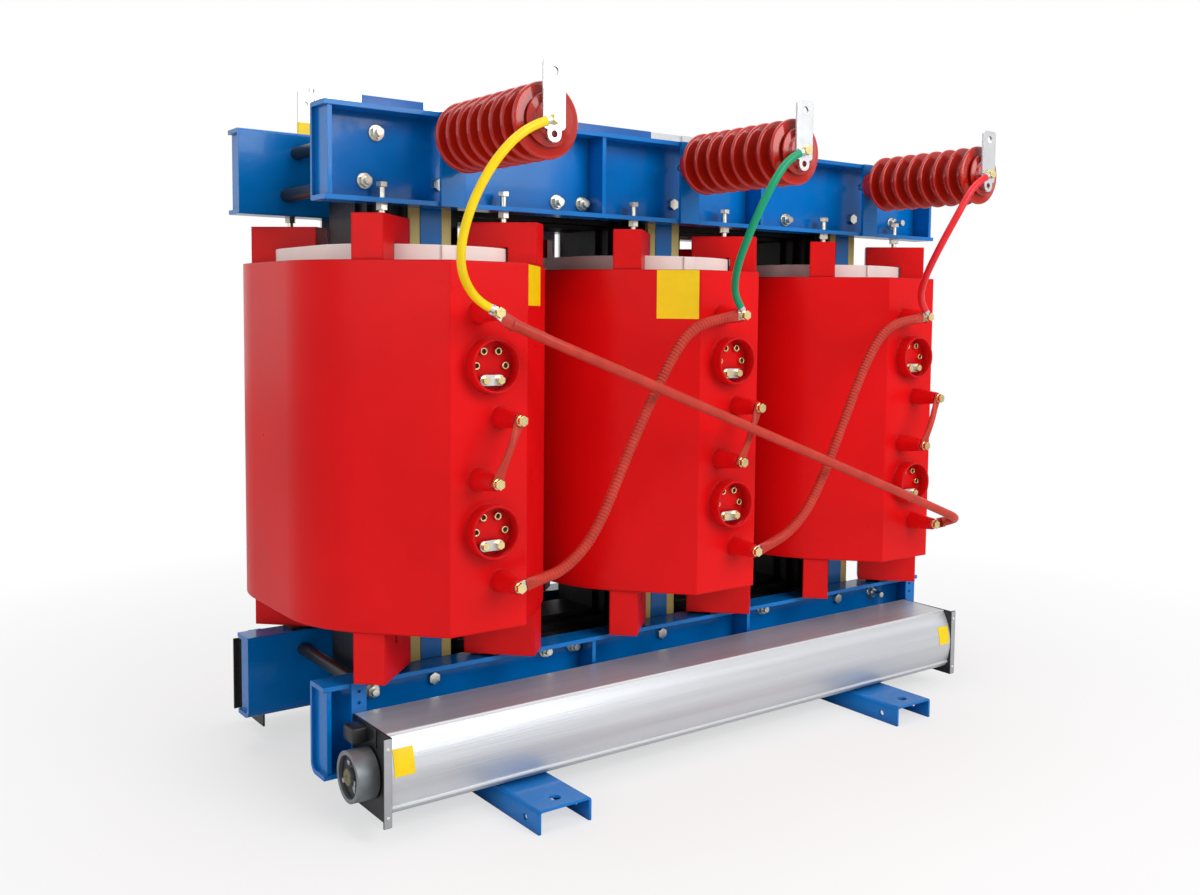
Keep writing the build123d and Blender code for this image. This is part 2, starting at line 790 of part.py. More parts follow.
def round_bar(name, points, radius):
    """Round bar or cable along straight runs joined by tangent arcs."""
    radii = bends(points)
    path = FilletPolyline(*points, radius=radii)
    start = Plane(origin=points[0], z_dir=Vector(*points[1]) - Vector(*points[0]))
    solid = sweep(start * Circle(radius), path=path)
    print(name, "length", round(path.length, 1), "bend radii", [round(r) for r in radii],
          "volume share", round(solid.volume / (3.14159265 * radius**2 * path.length), 4))
    return solid


def tongue(x, z, seat, angle, width, length):
    """Flat eye of a lug lying on the face at depth `seat`, pointing along `angle` in the X-Z plane."""
    shape = Circle(width / 2) + Pos(length / 2, 0) * Rectangle(length, width)
    plane = Plane(origin=(x, -seat, z), x_dir=(cos(radians(angle)), 0, sin(radians(angle))), z_dir=(0, -1, 0))
    return extrude(plane * shape, tongue_thickness)


def flat_sleeve(x, z, angle):
    """Flattened end of a link's sleeve over its lug."""
    plane = Plane(origin=(x, -post_tip + link_sleeve_back, z), z_dir=(0, -1, 0),
                  x_dir=(cos(radians(angle)), 0, sin(radians(angle))))
    length = link_sleeve_end - link_sleeve_start
    flat = Pos(link_sleeve_start + length / 2, 0) * Rectangle(length, link_sleeve_width)
    return extrude(plane * flat, link_sleeve_depth)


top_post = {name: (x - post_x, coil_mid_z + post_outer_z) for name, x in phases.items()}
bottom_post = {name: (x + post_x, coil_mid_z - post_outer_z) for name, x in phases.items()}

# routes of the three delta links: (limb, X from that limb, distance out from the post tips, Z from mid coil)
link_routes = {
    "delta_link_ac": ("a", "c", [("a", 8, 4, 251), ("a", 95, 30, 212), ("b", 0, 39, 10), ("c", -105, 40, -188),
                                 ("c", 48, 48, -248), ("c", 75, 33, -259), ("c", 72, 9, -269), ("c", 56, 3, -272)]),
    "delta_link_ba": ("b", "a", [("b", -64, 3, 270), ("b", -172, -2, 247), ("b", -236, -10, 160),
                                 ("a", 305, -10, -15), ("a", 222, -10, -187), ("a", 140, -6, -253),
                                 ("a", 64, 3, -264)]),
    "delta_link_cb": ("c", "b", [("c", -64, 3, 269), ("c", -174, -1, 251), ("c", -242, -10, 160),
                                 ("b", 318, -10, 0), ("b", 225, -10, -175), ("b", 145, -7, -241),
                                 ("b", 64, 3, -263)]),
}
link_lugs = []
for name, (start, end, places) in link_routes.items():
    route = [(phases[limb] + dx, -post_tip - out, coil_mid_z + dz) for limb, dx, out, dz in places]
    solid = round_bar(name, route, link_radius)
    ends = ((top_post[start], route[0]), (bottom_post[end], route[-1]))
    for (x, z), (near_x, _, near_z) in ends:
        angle = degrees(atan2(near_z - z, near_x - x))
        solid += flat_sleeve(x, z, angle)
        link_lugs.append(tongue(x, z, post_tip, angle, link_lug_width, link_sleeve_start))
    save(name, solid)
save("link_lugs", link_lugs)

# phase leads: free cables from the insulator terminals down to the top posts
def lead_lug(x, z, seat, to_x, to_z):
    """Cable lug: flat eye and a round barrel that meets the end of the cable."""
    angle = atan2(to_z - z, to_x - x)
    eye = tongue(x, z, seat, degrees(angle), lead_lug_width, lug_stub_start + lug_stub_overlap)
    axis_y = -seat - lead_radius
    stub_from = (x + lug_stub_start * cos(angle), axis_y, z + lug_stub_start * sin(angle))
    stub_to = (x + lug_stub_end * cos(angle), axis_y, z + lug_stub_end * sin(angle))
    return eye + rod(stub_from, stub_to, lead_radius - lug_barrel_wall), stub_to


strap_seat = strap_back_y + strap_thickness
lead_seat = post_tip + tongue_thickness

# each lead leaves both lugs in line with them, at the ends of its first and last runs:
# (X from the limb, Z from the insulator's axis) and (X from the limb, Z from the top post)
lead_exits = {"a": ((-66, -22), (-82, 24)), "b": ((-58, -22), (-63, 43)), "c": ((-66, -28), (-68, 40))}

# routes of the leads between those points: (X from the limb, Y, Z)
lead_routes = {
    "a": [(-128, -668, 1304), (-164, -642, 1214), (-160, -600, 1124)],
    "b": [(-103, -668, 1298), (-121, -634, 1216), (-111, -580, 1136)],
    "c": [(-111, -668, 1290), (-134, -634, 1210), (-128, -582, 1130)],
}
lead_lugs = []
for name, x in phases.items():
    (ux, upper_rise), (lx, lower_rise) = lead_exits[name]
    px, pz = top_post[name]
    uz, lz = insulator_z + upper_rise, pz + lower_rise
    upper, upper_end = lead_lug(x, insulator_z, strap_seat, x + ux, uz)
    lower, lower_end = lead_lug(px, pz, lead_seat, x + lx, lz)
    lead_lugs += [upper, lower]
    between = [(x + ux, upper_end[1], uz)]
    between += [(x + rx, ry, rz) for rx, ry, rz in lead_routes[name]]
    between.append((x + lx, lower_end[1], lz))
    route = [upper_end] + between + [lower_end]
    save("phase_lead_" + name, round_bar("phase_lead_" + name, route, lead_radius))
    print("phase_lead_" + name, "route", [tuple(round(value, 1) for value in point) for point in route])
save("lead_lugs", lead_lugs)


# ------------------------------------------------------------------ low voltage bars
lv_lead_y = coil_offset + lv_radius - lv_bar_inset
phase_bar_bend_z = insulator_z - phase_bend_drop
phase_bar_top_z = insulator_z + phase_bar_rise
neutral_bend_z = insulator_z - neutral_bend_drop
neutral_top_z = insulator_z + neutral_bar_rise
lv_terminal_z = phase_bar_top_z - lv_terminal_inset


def bent_bar(x, y, bend_z, top_z):
    """Flat bar up from the low voltage winding, out over the clamp and up to its terminal."""
    low_z = coil_high_z + lv_overhang
    path = FilletPolyline((x, lv_lead_y, low_z), (x, lv_lead_y, bend_z), (x, y, bend_z), (x, y, top_z),
                          radius=lv_bar_bend)
    return sweep(Plane(origin=(x, lv_lead_y, low_z)) * Rectangle(lv_bar_width, lv_bar_thickness), path=path)


phase_bar_side = {"a": -1, "b": -1, "c": 1}
lv_bars = []
neutral_drops = []
for name, x in phases.items():
    side = phase_bar_side[name]
    phase_x = x + side * lv_bar_offset_x
    bar = bent_bar(phase_x, phase_bar_y, phase_bar_bend_z, phase_bar_top_z)
    near_y, far_y = phase_bar_y - lv_bar_thickness, phase_bar_y + lv_bar_thickness
    bar -= rod((phase_x, near_y, lv_terminal_z), (phase_x, far_y, lv_terminal_z), lv_terminal_hole)
    lv_bars.append(bar)
    neutral_drops.append(bent_bar(x - side * lv_bar_offset_x, neutral_bar_y, neutral_bend_z, neutral_top_z))
save("lv_phase_bars", lv_bars)
save("neutral_risers", neutral_drops)

neutral_half_length = phase_pitch + neutral_overhang
neutral_face_y = neutral_bar_y + lv_bar_thickness / 2
save("neutral_busbar", box(-neutral_half_length, neutral_half_length, neutral_face_y,
                           neutral_face_y + lv_bar_thickness, neutral_top_z - neutral_depth, neutral_top_z))


# ------------------------------------------------------------------ low voltage bar supports
support_plates = []
support_insulators = []
support_back_y = upper_tip_y + bar_thickness
for name, x in phases.items():
    support_plates.append(box(x - support_plate_width / 2, x + support_plate_width / 2, upper_tip_y, support_back_y,
                              upper_clamp_low_z, upper_clamp_high_z))
    side = phase_bar_side[name]
    for bar_x, bar_y in ((x + side * lv_bar_offset_x, phase_bar_y), (x - side * lv_bar_offset_x, neutral_bar_y)):
        end_y = bar_y - lv_bar_thickness / 2
        support_insulators.append(rod((bar_x, support_back_y, insulator_z), (bar_x, end_y, insulator_z),
                                      support_radius))
save("lv_support_plates", support_plates)
save("lv_support_insulators", support_insulators)


# ------------------------------------------------------------------ cross-flow fans
fan_back_y = lower_tip_y + bracket_thickness
fan_front_y = fan_back_y + fan_depth
impeller_radius = (fan_depth - impeller_front_gap - impeller_back_gap) / 2
impeller_y = fan_front_y - impeller_front_gap - impeller_radius
impeller_z = foot_height + impeller_rise


def fan_section():
    """Folded and rolled sheet: back lip, flat top, bowed front and a bottom lip."""
    back, top = -fan_back_y - fan_sheet / 2, fan_top_z - fan_sheet / 2
    front, low = -fan_front_y + fan_sheet / 2, foot_height + fan_foot_clearance + fan_sheet / 2
    rear_lip = Line((back, top - fan_back_lip), (back, top))
    lid = Line((back, top), (front + 24, top - 1))
    bow = ThreePointArc((front + 24, top - 1), (front, (top + low) / 2 + 30), (front + 6, low + 18))
    lip = ThreePointArc((front + 6, low + 18), (front + 12, low + 5.6), (front + 26, low))
    tray = Line((front + 26, low), (front + 26 + fan_tray_length, low))
    return trace(rear_lip + lid + bow + lip + tray, line_width=fan_sheet)


def fan_housing():
    plane = Plane(origin=(-fan_half_length, 0, 0), x_dir=(0, 1, 0), z_dir=(1, 0, 0))
    return extrude(plane * fan_section(), 2 * fan_half_length)


def fan_end(side):
    """End plate with an outturned front flange and the bearing hole."""
    low, high = end_plate_low_z, fan_top_z
    front = -fan_front_y - end_flange_proud
    x0 = side * fan_half_length
    x1 = x0 + side * end_plate
    x2 = x0 + side * end_flange
    plate = box(min(x0, x1), max(x0, x1), front, -fan_back_y, low, high)
    plate += box(min(x0, x2), max(x0, x2), front, front + end_plate, low, high)
    bore = shaft_radius + shaft_clearance
    return plate - rod((x0 - side, -impeller_y, impeller_z), (x1 + side, -impeller_y, impeller_z), bore)


def fan_motor():
    """External-rotor motor: drum with a dished face and hub, stood off the end plate by its boss."""
    x0 = -fan_half_length - end_plate
    x1 = x0 - motor_gap
    x2 = x1 - motor_length
    axis = (-impeller_y, impeller_z)
    solid = rod((x1, *axis), (x2, *axis), motor_radius)
    solid += rod((x0, *axis), (x1, *axis), motor_boss_radius)
    solid -= ring((x2 + motor_dish, *axis), (x2 - 1, *axis), motor_radius - motor_rim, motor_hub_radius)
    return solid - rod((x0 + 1, *axis), (x0 - motor_bore_depth, *axis), shaft_radius + shaft_clearance)


def fan_impeller():
    """Long drum of curved blades on carrier discs, with its shaft."""
    half = fan_half_length - impeller_end_gap
    face = fan_half_length + end_plate
    axis = (-impeller_y, impeller_z)
    solid = rod((-face - shaft_motor_reach, *axis), (face + shaft_free_reach, *axis), shaft_radius)
    for i in range(disc_count):
        x = -half + i * (2 * half - disc_thickness) / (disc_count - 1)
        solid += rod((x, *axis), (x + disc_thickness, *axis), impeller_radius - disc_inset)
    plane = Plane(origin=(-half, *axis), x_dir=(0, 1, 0), z_dir=(1, 0, 0))
    section = Pos(impeller_radius - blade_depth / 2, 0) * Rot(0, 0, blade_pitch_angle)
    for i in range(blade_count):
        turn = Rot(0, 0, i * 360 / blade_count)
        solid += extrude(plane * (turn * section * Rectangle(blade_depth, blade_thickness)), 2 * half)
    return solid


housing = fan_housing()
ends = [fan_end(-1), fan_end(1)]
motor = fan_motor()
impeller = fan_impeller()
half_turn = Rot(0, 0, 180)
save("fan_front_housing", housing)
save("fan_front_end_plates", ends)
save("fan_front_motor", motor)
save("fan_front_impeller", impeller)
save("fan_rear_housing", half_turn * housing)
save("fan_rear_end_plates", [half_turn * piece for piece in ends])
save("fan_rear_motor", half_turn * motor)
save("fan_rear_impeller", half_turn * impeller)


def fan_brackets():
    """Flat straps on the flange tips of a lower clamp; the fan hangs on them."""
    straps = []
    for x0, x1 in bracket_places:
        strap_bar = box(x0, x1, -fan_back_y, -lower_tip_y, lower_clamp_low_z, lower_clamp_high_z)
        middle = (x0 + x1) / 2
        for drop in bracket_hole_drops:
            z = lower_clamp_high_z - drop
            strap_bar -= rod((middle, -fan_back_y - 1, z), (middle, -lower_tip_y + 1, z), bracket_hole_radius)
        straps.append(strap_bar)
    return straps


front_brackets = fan_brackets()
save("fan_brackets", front_brackets + [half_turn * piece for piece in front_brackets])

print(len(written), "nodes")
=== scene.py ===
"""Looks of a three phase cast resin dry type transformer, in the frame of its CAD model."""
import bpy
import bmesh
from math import asin, cos, pi, radians, sin
from mathutils import Matrix, Vector


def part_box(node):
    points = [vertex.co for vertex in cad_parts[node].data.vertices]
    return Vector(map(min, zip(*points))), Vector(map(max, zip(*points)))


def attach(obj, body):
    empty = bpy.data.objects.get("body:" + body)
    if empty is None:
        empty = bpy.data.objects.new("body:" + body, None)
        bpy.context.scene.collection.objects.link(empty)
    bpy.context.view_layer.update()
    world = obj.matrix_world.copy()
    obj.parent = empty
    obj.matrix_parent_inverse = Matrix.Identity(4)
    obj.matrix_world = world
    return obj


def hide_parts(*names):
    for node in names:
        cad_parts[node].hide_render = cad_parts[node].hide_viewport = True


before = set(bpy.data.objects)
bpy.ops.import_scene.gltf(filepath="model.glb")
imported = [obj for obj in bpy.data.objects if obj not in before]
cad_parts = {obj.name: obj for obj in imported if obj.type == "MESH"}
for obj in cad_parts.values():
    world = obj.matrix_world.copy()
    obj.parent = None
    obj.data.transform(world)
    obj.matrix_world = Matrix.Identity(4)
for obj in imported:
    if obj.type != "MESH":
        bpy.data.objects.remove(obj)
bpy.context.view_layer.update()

BODY = "transformer"


# ------------------------------------------------------------------ camera
CAMERA_PLACE = (-1.8411, -2.5061, 1.0429)
CAMERA_TURN = (37.38, 4.09, 0.67)  # degrees of yaw, pitch and roll
CAMERA_SENSOR, CAMERA_LENS = 36.0, 35.58
CAMERA_SHIFT = (-0.0330, -0.0424)
CAMERA_REACH = 60.0


def set_camera():
    yaw, pitch, roll = (radians(turn) for turn in CAMERA_TURN)
    forward = Vector((sin(yaw) * cos(pitch), cos(yaw) * cos(pitch), -sin(pitch)))
    right = Vector((cos(yaw), -sin(yaw), 0.0))
    up = right.cross(forward)
    side = right * cos(roll) + up * sin(roll)
    top = up * cos(roll) - right * sin(roll)
    data = bpy.data.cameras.new("camera")
    data.sensor_width = CAMERA_SENSOR
    data.lens = CAMERA_LENS
    data.shift_x, data.shift_y = CAMERA_SHIFT
    data.clip_end = CAMERA_REACH
    camera = bpy.data.objects.new("camera", data)
    axes = Matrix((side, top, -forward)).transposed().to_4x4()
    camera.matrix_world = Matrix.Translation(CAMERA_PLACE) @ axes
    bpy.context.scene.collection.objects.link(camera)
    bpy.context.scene.camera = camera


set_camera()


# ------------------------------------------------------------------ materials
RELIEF_DEPTH = 0.001
# Reach of the ambient occlusion that paints shade into hollows.
HOLLOW_SHADE_REACH = 0.03
RAMP_ENDS = (0.3, 0.7)


def tone(red, green, blue):
    """Linear colour with full alpha from screen values of 0 to 255."""
    linear = []
    for value in (red, green, blue):
        if value <= 10:
            linear.append(value / 255 / 12.92)
        else:
            linear.append(((value / 255 + 0.055) / 1.055) ** 2.4)
    return (*linear, 1.0)


def shade(colour, share):
    """The same colour, made darker or lighter by a share."""
    return (*(min(1.0, channel * share) for channel in colour[:3]), 1.0)


def surface(name, colour, roughness, metallic=0.0, mottle=0.08, scale=7.0, stretch=(1, 1, 1),
            rough_spread=0.06, bump=0.0, bump_scale=300.0, bump_stretch=(1, 1, 1), edge=0.0, coat=0.0,
            coat_roughness=0.08, specular=0.5, hollow_shade=0.0):
    """Principled material with a mottled colour, uneven gloss, a fine relief and softened edges, and
    optionally painted shade in hollows.
    """
    material = bpy.data.materials.new(name)
    material.use_nodes = True
    nodes, links = material.node_tree.nodes, material.node_tree.links
    shader = nodes["Principled BSDF"]
    shader.inputs["Metallic"].default_value = metallic
    shader.inputs["Specular IOR Level"].default_value = specular
    shader.inputs["Coat Weight"].default_value = coat
    shader.inputs["Coat Roughness"].default_value = coat_roughness
    place = nodes.new("ShaderNodeTexCoord")

    def noise(size, stretched, detail):
        mapping = nodes.new("ShaderNodeMapping")
        mapping.inputs["Scale"].default_value = stretched
        links.new(place.outputs["Object"], mapping.inputs["Vector"])
        texture = nodes.new("ShaderNodeTexNoise")
        texture.inputs["Scale"].default_value = size
        texture.inputs["Detail"].default_value = detail
        links.new(mapping.outputs["Vector"], texture.inputs["Vector"])
        return texture

    broad = noise(scale, stretch, 5.0)
    ramp = nodes.new("ShaderNodeValToRGB")
    for element, position, change in zip(ramp.color_ramp.elements, RAMP_ENDS, (-mottle, mottle)):
        element.position = position
        element.color = shade(colour, 1 + change)
    links.new(broad.outputs["Fac"], ramp.inputs["Fac"])
    base = ramp.outputs["Color"]
    # Painted shade: ambient occlusion darkens the colour in hollows, corners and between parts, where shade
    # falls.
    if hollow_shade:
        occlusion = nodes.new("ShaderNodeAmbientOcclusion")
        occlusion.inputs["Distance"].default_value = HOLLOW_SHADE_REACH
        occlusion.samples = 4
        painted_shade_mix = nodes.new("ShaderNodeMix")
        painted_shade_mix.data_type = "RGBA"
        # Of a colour mix, inputs 6 and 7 are the two colours and output 2 is the result.
        painted_shade_mix.inputs[6].default_value = shade(colour, 1 - hollow_shade)
        links.new(occlusion.outputs["AO"], painted_shade_mix.inputs["Factor"])
        links.new(base, painted_shade_mix.inputs[7])
        base = painted_shade_mix.outputs[2]
    links.new(base, shader.inputs["Base Color"])

    spread = nodes.new("ShaderNodeMapRange")
    spread.inputs["To Min"].default_value = max(0.02, roughness - rough_spread)
    spread.inputs["To Max"].default_value = roughness + rough_spread
    links.new(noise(scale * 4, stretch, 3.0).outputs["Fac"], spread.inputs["Value"])
    links.new(spread.outputs["Result"], shader.inputs["Roughness"])

    normal = None
    if edge:
        bevel = nodes.new("ShaderNodeBevel")
        bevel.samples = 4
        bevel.inputs["Radius"].default_value = edge
        normal = bevel.outputs["Normal"]
    if bump:
        relief = nodes.new("ShaderNodeBump")
        relief.inputs["Strength"].default_value = bump
        relief.inputs["Distance"].default_value = RELIEF_DEPTH
        links.new(noise(bump_scale, bump_stretch, 2.0).outputs["Fac"], relief.inputs["Height"])
        if normal:
            links.new(normal, relief.inputs["Normal"])
        normal = relief.outputs["Normal"]
    if normal:
        links.new(normal, shader.inputs["Normal"])
    return material


# Each material's darkening in hollows, set below, is painted shade.
blue_paint = surface("blue_paint", tone(0, 116, 198), 0.20, mottle=0.14, scale=5, bump=0.12, bump_scale=70,
                     edge=0.002, coat=0.12, coat_roughness=0.04, specular=0.22, hollow_shade=0.55)
red_resin = surface("red_resin", tone(224, 16, 20), 0.30, mottle=0.07, scale=4, bump=0.12, bump_scale=45,
                    edge=0.007, specular=0.12, hollow_shade=0.4)
block_resin = surface("block_resin", tone(226, 20, 22), 0.38, mottle=0.08, scale=9, bump=0.15, bump_scale=60,
                      edge=0.006, specular=0.14, hollow_shade=0.45)
insulator_resin = surface("insulator_resin", tone(182, 30, 14), 0.16, mottle=0.12, scale=12, bump=0.05,
                          bump_scale=120, edge=0.001, coat=0.35, coat_roughness=0.04, specular=0.3,
                          hollow_shade=0.7)
core_black = surface("core_black", tone(24, 24, 27), 0.42, mottle=0.25, scale=6, bump=0.8, bump_scale=420,
                     bump_stretch=(0.004, 1.0, 0.004), edge=0.001, specular=0.3, hollow_shade=0.5)
board_yellow = surface("board_yellow", tone(214, 196, 116), 0.5, mottle=0.14, scale=14, stretch=(1, 1, 0.2),
                       bump=0.3, bump_scale=260, bump_stretch=(1, 1, 0.1), edge=0.001, hollow_shade=0.4)
zinc = surface("zinc_steel", tone(214, 212, 198), 0.30, metallic=1.0, mottle=0.10, scale=60, bump=0.15,
               bump_scale=500, edge=0.0012)
brass = surface("brass", tone(232, 214, 156), 0.26, metallic=1.0, mottle=0.08, scale=70, bump=0.12,
                bump_scale=500, edge=0.001)
tinned = surface("tinned_copper", tone(206, 208, 210), 0.36, metallic=1.0, mottle=0.06, scale=22, bump=0.2,
                 bump_scale=240, edge=0.0012, rough_spread=0.1)
winding = surface("lv_winding", tone(120, 66, 44), 0.5, mottle=0.2, scale=16, stretch=(1, 1, 0.3), bump=0.5,
                  bump_scale=220, bump_stretch=(1, 1, 0.02), edge=0.002, hollow_shade=0.5)
ivory = surface("barrier_sheet", tone(250, 248, 242), 0.42, mottle=0.03, scale=10, bump=0.1, bump_scale=80,
                edge=0.0008, specular=0.3, hollow_shade=0.15)
yellow_vinyl = surface("yellow_sleeve", tone(250, 216, 8), 0.34, mottle=0.05, scale=30, bump=0.35,
                       bump_scale=160, specular=0.3)
green_vinyl = surface("green_sleeve", tone(0, 150, 104), 0.34, mottle=0.08, scale=30, bump=0.35,
                      bump_scale=160, specular=0.3)
red_vinyl = surface("red_sleeve", tone(226, 34, 42), 0.34, mottle=0.08, scale=30, bump=0.35, bump_scale=160,
                    specular=0.3)
blue_vinyl = surface("blue_sleeve", tone(12, 98, 178), 0.4, mottle=0.08, scale=30, bump=0.2, bump_scale=200)
link_vinyl = surface("link_sleeve", tone(188, 56, 42), 0.40, mottle=0.14, scale=26, bump=0.3, bump_scale=260,
                     specular=0.25, hollow_shade=0.35)
black_paint = surface("black_paint", tone(26, 27, 29), 0.38, mottle=0.2, scale=12, bump=0.25, bump_scale=260,
                      edge=0.001)
fan_aluminium = surface("fan_sheet", tone(200, 204, 208), 0.38, metallic=0.45, mottle=0.13, scale=26,
                        stretch=(0.015, 1, 1), rough_spread=0.12, bump=0.35, bump_scale=420,
                        bump_stretch=(0.012, 1, 1), specular=0.4)
# Painted highlight: a lighter, less metal copy of the fan sheet, for the bright lines along the housing's
# rolled lips.
fan_bead_highlight = surface("fan_bead_highlight", tone(224, 227, 230), 0.34, metallic=0.3, mottle=0.04, scale=20,
                   stretch=(0.05, 1, 1), bump=0.1, bump_scale=300)
motor_grey = surface("motor_grey", tone(128, 134, 138), 0.42, metallic=0.5, mottle=0.14, scale=30, bump=0.4,
                     bump_scale=300, edge=0.0012, hollow_shade=0.5)
pale_plate = surface("pale_plate", tone(178, 182, 186), 0.34, metallic=0.7, mottle=0.06, scale=30, bump=0.15,
                     bump_scale=240, edge=0.0006)
hub_olive = surface("hub_olive", tone(112, 108, 74), 0.46, mottle=0.12, scale=40, bump=0.2, bump_scale=300)
impeller_metal = surface("impeller_metal", tone(150, 152, 154), 0.4, metallic=1.0, mottle=0.1, scale=20,
                         stretch=(0.1, 1, 1), bump=0.2, bump_scale=300)
# Painted shade: a dark brown that stands for the shade deep in the insert bores.
bore_shade = surface("bore_shade", tone(40, 26, 16), 0.6, mottle=0.2, scale=80)
plain_yellow = surface("plain_field", tone(252, 216, 6), 0.40, mottle=0.03, scale=40, bump=0.05,
                       bump_scale=200, specular=0.3)

NODE_LOOKS = [  # each look, and how the names of its nodes start
    (blue_paint, ("fan_brackets", "foot_channel_", "upper_clamp_", "lower_clamp_", "insulator_bars",
                  "foot_packers", "lv_support_plates", "tie_plates")),
    (core_black, ("core_",)),
    (red_resin, ("hv_coil_",)),
    (block_resin, ("coil_blocks_", "lv_support_insulators")),
    (winding, ("lv_coil_",)),
    (ivory, ("barrier_cylinders",)),
    (insulator_resin, ("post_insulators",)),
    (board_yellow, ("press_boards", "limb_strips")),
    (zinc, ("push_bolts", "insulator_fixings", "clamp_studs", "tie_plate_bolts")),
    (brass, ("terminal_bolts", "tap_inserts")),
    (tinned, ("hv_terminal_straps", "tap_link_plates", "link_lugs", "lead_lugs", "lv_phase_bars",
              "neutral_")),
    (link_vinyl, ("delta_link_", "tap_jumpers")),
    (black_paint, ("coil_pads", "stud_sleeves", "fan_front_end_plates", "fan_rear_end_plates")),
    (fan_aluminium, ("fan_front_housing", "fan_rear_housing")),
    (motor_grey, ("fan_front_motor", "fan_rear_motor")),
    (impeller_metal, ("fan_front_impeller", "fan_rear_impeller")),
    (yellow_vinyl, ("phase_lead_a",)),
    (green_vinyl, ("phase_lead_b",)),
    (red_vinyl, ("phase_lead_c",)),
]
for name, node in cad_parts.items():
    for look, starts in NODE_LOOKS:
        if name.startswith(starts):
            node.data.materials.clear()
            node.data.materials.append(look)
            break


# ------------------------------------------------------------------ mesh tools
class Piece:
    """Collects vertices and faces of one visible piece."""

    def __init__(self):
        self.verts = []
        self.faces = []

    def add(self, verts, faces):
        first = len(self.verts)
        self.verts += [tuple(v) for v in verts]
        self.faces += [tuple(first + i for i in face) for face in faces]

    def lathe(self, origin, axis, profile, segments=48):
        """Turned form: profile holds pairs of distance along the axis and radius."""
        origin, axis = Vector(origin), Vector(axis).normalized()
        helper = Vector((0, 0, 1)) if abs(axis.z) < 0.9 else Vector((1, 0, 0))
        u = helper.cross(axis).normalized()
        v = axis.cross(u)
        rings = []
        verts, faces = [], []
        for along, radius in profile:
            if radius <= 0:
                rings.append([len(verts)])
                verts.append(origin + axis * along)
                continue
            ring = []
            for i in range(segments):
                a = 2 * pi * i / segments
                ring.append(len(verts))
                verts.append(origin + axis * along + (u * cos(a) + v * sin(a)) * radius)
            rings.append(ring)
        for low, high in zip(rings, rings[1:]):
            for i in range(segments):
                j = (i + 1) % segments
                if len(low) == 1 and len(high) > 1:
                    faces.append((low[0], high[i], high[j]))
                elif len(high) == 1 and len(low) > 1:
                    faces.append((low[i], high[0], low[j]))
                elif len(low) > 1:
                    faces.append((low[i], high[i], high[j], low[j]))
        self.add(verts, faces)

    def slab(self, low, high, bevel=0.001):
        """Block between two corners with rounded edges."""
        low, high = Vector(low), Vector(high)
        size, middle = high - low, (low + high) / 2
        mesh = bmesh.new()
        bmesh.ops.create_cube(mesh, size=1.0)
        for vert in mesh.verts:
            vert.co = Vector((vert.co.x * size.x, vert.co.y * size.y, vert.co.z * size.z))
        bmesh.ops.bevel(mesh, geom=list(mesh.edges), offset=min(bevel, min(size) * 0.45), segments=2,
                        profile=0.5, affect="EDGES")
        mesh.verts.index_update()
        self.add([v.co + middle for v in mesh.verts], [[v.index for v in f.verts] for f in mesh.faces])
        mesh.free()

    def finish(self, name, material, slot, sharp=0.6, replaces=()):
        """Makes the object; edges that turn by less than sharp radians are shaded smooth."""
        mesh = bpy.data.meshes.new(name)
        mesh.from_pydata(self.verts, [], self.faces)
        work = bmesh.new()
        work.from_mesh(mesh)
        bmesh.ops.recalc_face_normals(work, faces=work.faces)
        for edge in work.edges:
            edge.smooth = edge.calc_face_angle(0.0) < sharp
        work.to_mesh(mesh)
        work.free()
        for face in mesh.polygons:
            face.use_smooth = True
        mesh.materials.append(material)
        obj = bpy.data.objects.new(name, mesh)
        bpy.context.scene.collection.objects.link(obj)
        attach(obj, BODY)
        if replaces:
            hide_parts(*replaces)


def spline_curve(name, points, steps):
    """Curve data with one NURBS spline that starts and ends at its first and last control points."""
    data = bpy.data.curves.new(name, "CURVE")
    data.dimensions = "3D"
    spline = data.splines.new("NURBS")
    spline.points.add(len(points) - 1)
    for point, place in zip(spline.points, points):
        point.co = (*place, 1.0)
    spline.order_u = 3
    spline.use_endpoint_u = True
    data.resolution_u = steps
    return data


def smooth_line(name, points):
    """Points read from the NURBS spline of some control points."""
    data = spline_curve(name, points, 40)
    obj = bpy.data.objects.new(name, data)
    bpy.context.scene.collection.objects.link(obj)
    mesh = bpy.data.meshes.new_from_object(obj)
    line = [vert.co.copy() for vert in mesh.vertices]
    bpy.data.objects.remove(obj)
    bpy.data.curves.remove(data)
    bpy.data.meshes.remove(mesh)
    return line


# ------------------------------------------------------------------ phase leads: the only free cords
LEAD_DIAMETER = 0.017
LEADS = {
    "a": (yellow_vinyl, "yellow_sleeve", 0.4893,
          [(-0.6637, -0.6785, 1.3841), (-0.706, -0.6785, 1.370), (-0.768, -0.668, 1.304),
           (-0.804, -0.642, 1.214), (-0.800, -0.600, 1.124), (-0.722, -0.5215, 1.062),
           (-0.689, -0.5215, 1.0478)]),
    "b": (green_vinyl, "green_sleeve", 0.4295,
          [(-0.0234, -0.6785, 1.3831), (-0.058, -0.6785, 1.370), (-0.103, -0.668, 1.298),
           (-0.121, -0.634, 1.216), (-0.111, -0.580, 1.136), (-0.063, -0.5215, 1.081),
           (-0.0423, -0.5215, 1.057)]),
    "c": (red_vinyl, "red_sleeve", 0.4451,
          [(0.617, -0.6785, 1.3822), (0.574, -0.6785, 1.364), (0.529, -0.668, 1.290),
           (0.506, -0.634, 1.210), (0.512, -0.582, 1.130), (0.572, -0.5215, 1.078),
           (0.5959, -0.5215, 1.0552)]),
}
